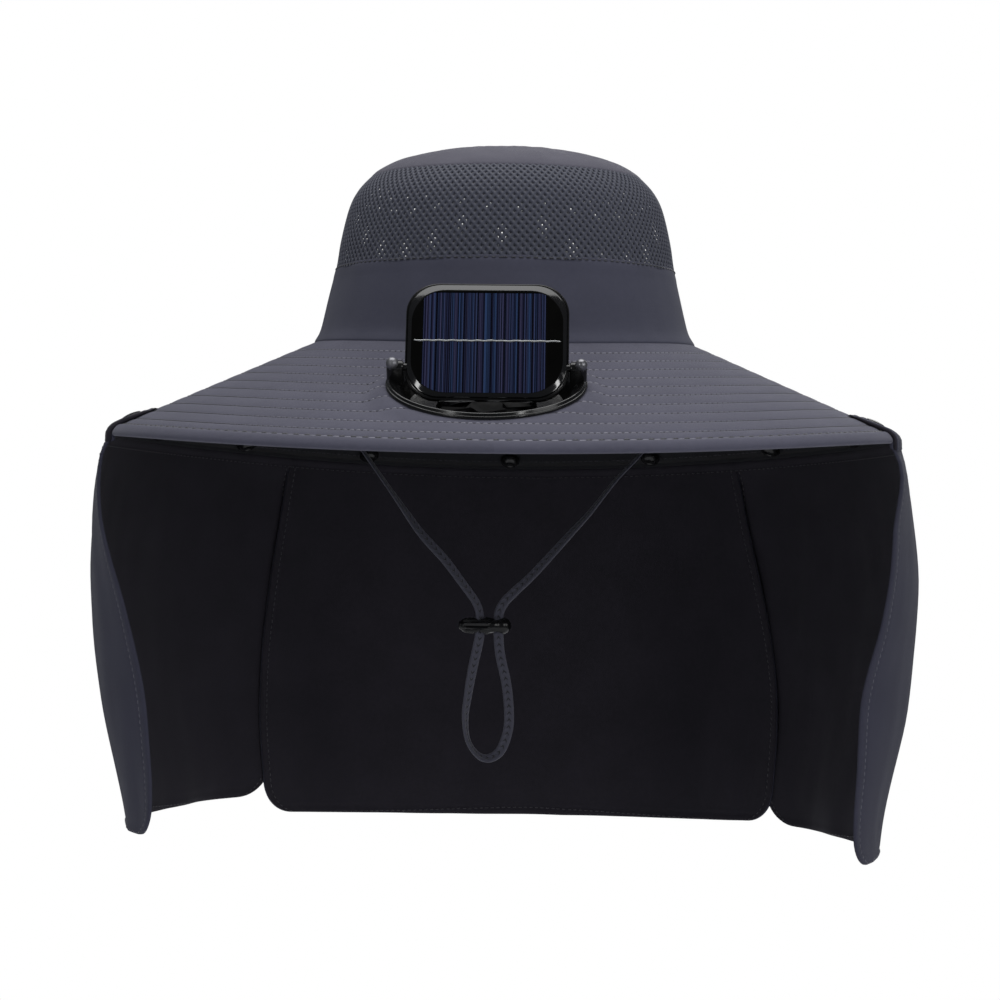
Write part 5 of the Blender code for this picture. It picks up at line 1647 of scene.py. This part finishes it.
# The cells: nine thin strips of blue silicon, laid side by side under clear resin in the frame's pocket.
# Their grain shows as fine upright streaks, with a dark joint after each strip.
CELL_STRIPS = 9
cell_paint, cell_tree, cell_shader = new_paint("solar_cell", (0.015, 0.018, 0.05), 0.35, Coat_Weight=0.1,
                                               Coat_Roughness=0.08, Specular_IOR_Level=0.1)
cell_split = split_node(cell_tree, put_node(cell_tree, "ShaderNodeTexCoord").outputs["Object"])
cell_across = sum_node(cell_tree, "SUBTRACT", cell_split["X"], UNIT_X + CELL_SHIFT)
cell_pitch = CELL_WIDTH / CELL_STRIPS


def streaks(scale, detail):
    """Noise that only changes across the panel, so it draws upright streaks."""
    return put_node(cell_tree, "ShaderNodeTexNoise", noise_dimensions="1D", Scale=scale, Detail=detail,
                    Roughness=0.7, W=cell_across).outputs["Fac"]


def tone_between(share, first, last, low, high):
    """Colour between two, as a value goes from low to high."""
    return mix_node(cell_tree, ease_node(cell_tree, share, low, high), first, last)


cell_hue = tone_between(streaks(330.0, 1.0), (0.046, 0.046, 0.104), (0.027, 0.056, 0.140), 0.42, 0.58)
cell_bright = tone_between(streaks(950.0, 1.0), (0.006, 0.007, 0.028), cell_hue, 0.40, 0.60)
cell_line = tone_between(streaks(1900.0, 2.0), (0.002, 0.002, 0.007), cell_bright, 0.40, 0.52)
cell_edge = sum_node(cell_tree, "PINGPONG",
                     sum_node(cell_tree, "ADD", cell_across, CELL_WIDTH / 2), cell_pitch / 2)
cell_joint = sum_node(cell_tree, "SUBTRACT", cell_pitch / 2, sum_node(
    cell_tree, "ABSOLUTE", sum_node(cell_tree, "SUBTRACT", cell_edge, cell_pitch / 2)))
feed(cell_tree, cell_shader.inputs["Base Color"],
     tone_between(cell_joint, (0.002, 0.002, 0.005), cell_line, 0.0001, 0.0004))


def cell_strip():
    """One cell strip with softened long edges, from 0 to 1 on each side."""
    def build(working):
        rings = []
        for x, z in ((-0.5, -0.5), (-0.5, 0.25), (-0.47, 0.5), (0.47, 0.5), (0.5, 0.25), (0.5, -0.5)):
            rings.append([working.verts.new((x, y, z)) for y in (-0.5, 0.5)])
        for index in range(len(rings)):
            here, there = rings[index], rings[(index + 1) % len(rings)]
            working.faces.new((here[0], here[1], there[1], there[0]))
        working.faces.new([ring[0] for ring in rings])
        working.faces.new([ring[1] for ring in rings])
    return solid_of("cell_strip", build)


panel_turn = panel_place.to_3x3()
cell_spots = []
for index in range(CELL_STRIPS):
    across = CELL_SHIFT + (index - (CELL_STRIPS - 1) / 2) * cell_pitch
    spot = Vector((across, panel_middle - CELL_DROP, (PANEL_THICKNESS - CELL_THICKNESS) / 2))
    cell_spots.append((panel_place @ spot, panel_turn.col[2], panel_turn.col[0]))
strip_mesh = cell_strip()
strip_mesh.transform(Matrix.Diagonal((cell_pitch - 0.0001, CELL_HEIGHT, CELL_THICKNESS, 1.0)))
cells = spread_piece("cell_strips", cell_spots, strip_mesh, cell_paint)
cut_or_join(cells, [inner_prism()], "INTERSECT")
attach(cells, "panel")
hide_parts("solar_cells")


# The bus strip: one thin, slightly wavy ribbon of tinned copper soldered across all the cells.
BUS_HALF_LENGTH = 0.0330
BUS_WIDTH = 0.0009
BUS_UP = 0.0120
BUS_STEPS = 120
bus_paint, bus_tree, bus_shader = new_paint("bus_metal", (0.40, 0.41, 0.41), 0.42, Metallic=0.6)
feed(bus_tree, bus_shader.inputs["Roughness"],
     ease_node(bus_tree, noise_node(bus_tree, 900.0, 3.0, 0.6), 0.35, 0.65, 0.3, 0.6))
bus_sections = []
for step in range(BUS_STEPS + 1):
    x = BUS_HALF_LENGTH * (2 * step / BUS_STEPS - 1)
    wander = 0.00018 * noise.noise(Vector((x * 170, 1.0, 0.0))) + 0.0001 * math.sin(x * 1100)
    narrow = BUS_WIDTH * (0.5 + 0.1 * noise.noise(Vector((x * 400, 5.0, 0.0))))
    narrow *= smooth_step((BUS_HALF_LENGTH - abs(x)) / 0.0012 + 0.25)
    base = PANEL_THICKNESS / 2
    ring = ((-narrow, base - 0.0001), (-narrow * 0.7, base + 0.00022), (0.0, base + 0.00028),
            (narrow * 0.7, base + 0.00022), (narrow, base - 0.0001), (0.0, base - 0.0001))
    bus_sections.append([panel_place @ Vector((x, BUS_UP + wander + y, z)) for y, z in ring])
bus_mesh = loft_mesh("bus_strip", bus_sections, False,
                     lambda index, corner: (0.0005 * index, 0.0002 * corner), back=0)
bus_strip = new_piece("bus_strip", bus_mesh, bus_paint)
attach(bus_strip, "panel")


# The stitching: corespun polyester thread in lockstitch, light grey on the brim, slate on the flap's
# outside and near black on the crown and the inside. Each stitch is a bead of thread, dipped at both ends.
STITCH_PITCH = 0.0032
STITCH_SHARE = 0.72
STITCH_WIDTH = 0.00062
RIM_STITCH_PITCH = 0.0057
RIM_STITCH_WIDTH = 0.0009
# Where the band's stitch row stops before its ends, in radians
BAND_STITCH_END = 0.012
BAND_STITCH_STEPS = 300
BRIM_RING_STEPS = 240
CROWN_RING_STEPS = 180
LINING_STITCH_IN = 0.0035
HEM_STITCH_WIDTH = 0.0006
SEAM_STITCH_WIDTH = 0.0007
CROWN_STITCH_PITCH = 0.0036
# Rings of a stitch's bead along its length
BEAD_ROWS = (
    # along, width, rise
    (-0.5, 0.35, -0.25),
    (-0.28, 0.95, 0.36),
    (0.28, 0.95, 0.38),
    (0.5, 0.35, -0.25),
)


def stitch_bead():
    """Closed bead of thread, 1 long and 1 wide, with two strands' twist as a slight lean."""
    def build(working):
        join_rings(working, [[working.verts.new((
            x, 0.5 * width * math.cos(turn) + 0.12 * x, 0.45 * width * math.sin(turn) + rise - 0.3,
        )) for turn in (math.radians(angle) for angle in (-30, 30, 90, 150, 210, 270))]
            for x, width, rise in BEAD_ROWS], closed_ends=True)
    mesh = solid_of("stitch_bead", build)
    mesh.shade_smooth()
    return mesh


def thread_paint(name, colour):
    """Polyester thread: a satin sheen and its fine twist."""
    paint, tree, shader = new_paint(name, colour, 0.5, Sheen_Weight=0.3)
    dark, bright = [tuple(min(value * gain, 1.0) for value in colour) for gain in (0.7, 1.25)]
    feed(tree, shader.inputs["Base Color"], mix_node(tree, noise_node(tree, 3200.0, 2.0, 0.6), dark, bright))
    return paint


def paint_groove_shade_aside(paint, colour):
    """Let a thread's colour fade to a darker one away from the front: painted shade of the groove it is sunk
    in, by the piece's own X.
    """
    tree = paint.node_tree
    shader = tree.nodes["Principled BSDF"]
    near = shader.inputs["Base Color"].links[0].from_socket
    aside = split_node(tree, put_node(tree, "ShaderNodeTexCoord").outputs["Object"])["X"]
    fade = ease_node(tree, sum_node(tree, "ABSOLUTE", aside), 0.055, 0.125)
    feed(tree, shader.inputs["Base Color"], mix_node(tree, fade, near, colour))


def evenly_along(line, pitch, closed=False):
    """Spots of (place, lift, along) at an even pitch on a line of (place, lift)."""
    spots = []
    wanted = pitch / 2
    walked = 0.0
    pairs = list(zip(line, line[1:] + line[:1])) if closed else list(zip(line, line[1:]))
    for (here, lift), (there, after_lift) in pairs:
        step = (there - here).length
        while step > 0 and walked + step >= wanted:
            share = (wanted - walked) / step
            jitter = 0.12 * pitch * noise.noise(here * 900)
            along = (there - here).normalized()
            place = here.lerp(there, share) + along * jitter
            spots.append((place, lift.lerp(after_lift, share).normalized(), along))
            wanted += pitch
        walked += step
    return spots


def clear_of_fan(place):
    """True outside the fan housing's oval."""
    local = unit_place.inverted() @ place
    return math.hypot(local.x / BASE_HALF_WIDTH, local.y / BASE_HALF_DEPTH) > 1.01


def stitch_line(name, lines, pitch, width, paint):
    """One piece with the stitches of several lines."""
    spots = [spot for line, closed in lines for spot in evenly_along(line, pitch, closed)
             if clear_of_fan(spot[0])]
    stitches = spread_piece(name, spots, stitch_bead(), paint, pitch * STITCH_SHARE, width)
    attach(stitches, "hat")


def brim_ring(radius, rise, reach=math.pi):
    """Line round the brim, from the front to an angle on each side."""
    count = BRIM_RING_STEPS + (0 if reach == math.pi else 1)
    angles = [-reach + 2 * reach * step / BRIM_RING_STEPS for step in range(count)]
    return [brim_spot(radius, angle, rise)[:2] for angle in angles], reach == math.pi


brim_thread = thread_paint("brim_thread", (0.300, 0.292, 0.345))
# Painted shade: the brim thread's colour darkens towards the sides, standing in for the shadow of its grooves
paint_groove_shade_aside(brim_thread, (0.075, 0.073, 0.098))
dark_thread = thread_paint("dark_thread", (0.022, 0.022, 0.030))
inner_thread = thread_paint("inner_thread", (0.031, 0.028, 0.038))
outer_thread = thread_paint("outer_thread", (0.105, 0.103, 0.135))
front_reach = math.pi - FLAP_END + math.radians(2)
brim_lines = []
for row in range(QUILT_ROWS):
    radius = QUILT_FIRST + quilt_pitch * row
    brim_lines.append(brim_ring(radius, -QUILT_DEPTH * 0.6, front_reach if radius > 0.172 else math.pi))
# Between two stitches the thread dives into the quilting and leaves a small pit; a dark bead sunk there is
# painted shade in the pit
pit_shade_paint = thread_paint("pit_shade_paint", (0.020, 0.020, 0.028))


def shaded_pit_beads_between(name, lines, pitch, width, share, sunk):
    """Beads of painted shade in the pits half a pitch from each stitch of several lines; share is their
    length over the pitch.
    """
    spots = []
    for line, closed in lines:
        stitches = evenly_along(line, pitch, closed)
        spots += [(here[0].lerp(there[0], 0.5) - here[1] * sunk, here[1], here[2])
                  for here, there in zip(stitches, stitches[1:]) if (there[0] - here[0]).length < 2 * pitch]
    spots = [spot for spot in spots if clear_of_fan(spot[0])]
    pits = spread_piece(name, spots, stitch_bead(), pit_shade_paint, pitch * share, width)
    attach(pits, "hat")


shaded_pit_beads_between("brim_pits", brim_lines, STITCH_PITCH, STITCH_WIDTH * 1.25, 0.42, 0.0002)
shaded_pit_beads_between("rim_pits", [brim_ring(RIM_ROW, -RIM_ROW_DEPTH * 0.5, front_reach)], RIM_STITCH_PITCH,
             0.0018, 0.62, 0.0001)
stitch_line("brim_quilting", brim_lines, STITCH_PITCH, STITCH_WIDTH, brim_thread)
stitch_line("rim_stitching", [brim_ring(RIM_ROW, -RIM_ROW_DEPTH * 0.6, front_reach)], RIM_STITCH_PITCH,
            RIM_STITCH_WIDTH, brim_thread)


def crown_ring(stop):
    """Closed line round the crown at a way up its outline."""
    line = []
    for angle in turns(CROWN_RING_STEPS):
        place = crown_place(stop, angle)
        line.append((place, (place - crown_place(stop, angle, 0.002)).normalized()))
    return line, True


stitch_line("crown_stitching", [crown_ring(BAND_TOP - BAND_STITCH_DOWN)], CROWN_STITCH_PITCH,
            SEAM_STITCH_WIDTH, dark_thread)


def grid_spot(rows, column, row, inside):
    """Place and outward direction on a panel's grid of points, between its columns and rows."""
    size = len(rows[0])
    first = min(int(column), len(rows) - 2)
    level = min(int(row), size // 2 - 2)
    spots = []
    for flip in (False, True):
        corners = []
        for c, r in ((first, level), (first + 1, level), (first, level + 1), (first + 1, level + 1)):
            corners.append(rows[c][size - 1 - r if flip else r])
        near = corners[0].lerp(corners[1], column - first)
        far = corners[2].lerp(corners[3], column - first)
        spots.append(near.lerp(far, row - level))
    out = (spots[0] - spots[1]).normalized()
    return (spots[1], -out) if inside else (spots[0], out)


def hem_line(rows, inset, inside):
    """Line on a panel at a distance from its two side edges and its bottom."""
    size = len(rows[0]) // 2
    columns = len(rows)

    def across_at(row, from_left):
        """Column where the distance from a side edge along a row reaches the inset."""
        order = range(columns - 1) if from_left else range(columns - 1, 0, -1)
        walked = 0.0
        for column in order:
            there = column + 1 if from_left else column - 1
            step = (rows[there][row] - rows[column][row]).length
            if walked + step >= inset:
                share = (inset - walked) / step
                return column + share if from_left else column - share
            walked += step
        return columns / 2

    def up_at(column):
        """Row where the distance from the bottom along a column reaches the inset."""
        walked = 0.0
        for row in range(size - 1, 0, -1):
            step = (rows[column][row] - rows[column][row - 1]).length
            if walked + step >= inset:
                return row - (inset - walked) / step
            walked += step
        return 0.0

    line = []
    side_rows = [row for row in range(4, size) if (rows[0][row] - rows[0][size - 1]).length > 0.0]
    left = [(across_at(row, True), row) for row in side_rows]
    right = [(across_at(row, False), row) for row in side_rows]
    left = [(column, row) for column, row in left if row <= up_at(min(round(column), columns - 1))]
    right = [(column, row) for column, row in right if row <= up_at(min(round(column), columns - 1))]
    bottom = [(column, up_at(column)) for column in range(columns) if left[-1][0] < column < right[-1][0]]
    for column, row in left + bottom + right[::-1]:
        line.append(grid_spot(rows, column, row, inside))
    return line, False


def level_line(rows, row, inside):
    """Line across a panel at one of its rows."""
    return [grid_spot(rows, column, row, inside) for column in range(1, len(rows) - 1)], False


outer_lines, inner_lines = [], []
for rows in (left_rows, right_rows, back_rows):
    outer_lines.append(hem_line(rows, PANEL_STITCH_IN, False))
    inner_lines.append(hem_line(rows, PANEL_STITCH_IN, True))
    inner_lines.append(level_line(rows, 4.2, True))
stitch_line("flap_outer_stitching", outer_lines, STITCH_PITCH, HEM_STITCH_WIDTH, outer_thread)
stitch_line("flap_inner_stitching", inner_lines, STITCH_PITCH, HEM_STITCH_WIDTH, inner_thread)

band_line_points = []
for step in range(BAND_STITCH_STEPS + 1):
    share = step / BAND_STITCH_STEPS
    angle = math.pi - FLAP_END + BAND_STITCH_END + 2 * (FLAP_END - BAND_STITCH_END) * share
    place, lift, along = brim_spot(BRIM_RADIUS - FLAP_LAP + BAND_STITCH_IN, angle, 0.0)
    end = (FLAP_END - abs(angle - math.pi)) * BRIM_RADIUS
    lifted = FLAP_END_LIFT * (1 - smooth_step(end / BRIM_RADIUS / FLAP_END_LIFT_SPAN))
    rise = SEW_GAP + FLAP_WALL + lap_relief(BAND_STITCH_IN, end) + lifted
    band_line_points.append((place + lift * rise, lift))
stitch_line("band_stitching", [(band_line_points, False)], STITCH_PITCH, HEM_STITCH_WIDTH,
            outer_thread)

lining_line = []
for angle in turns(BRIM_RING_STEPS):
    place, lift, along = brim_spot(RIM_ROW - LINING_STITCH_IN, angle, 0.0)
    lining_line.append((place - Vector((0, 0, BRIM_WALL + SEW_GAP + LINING_WALL)), -lift))
stitch_line("lining_stitching", [(lining_line, True)], STITCH_PITCH, SEAM_STITCH_WIDTH,
            inner_thread)
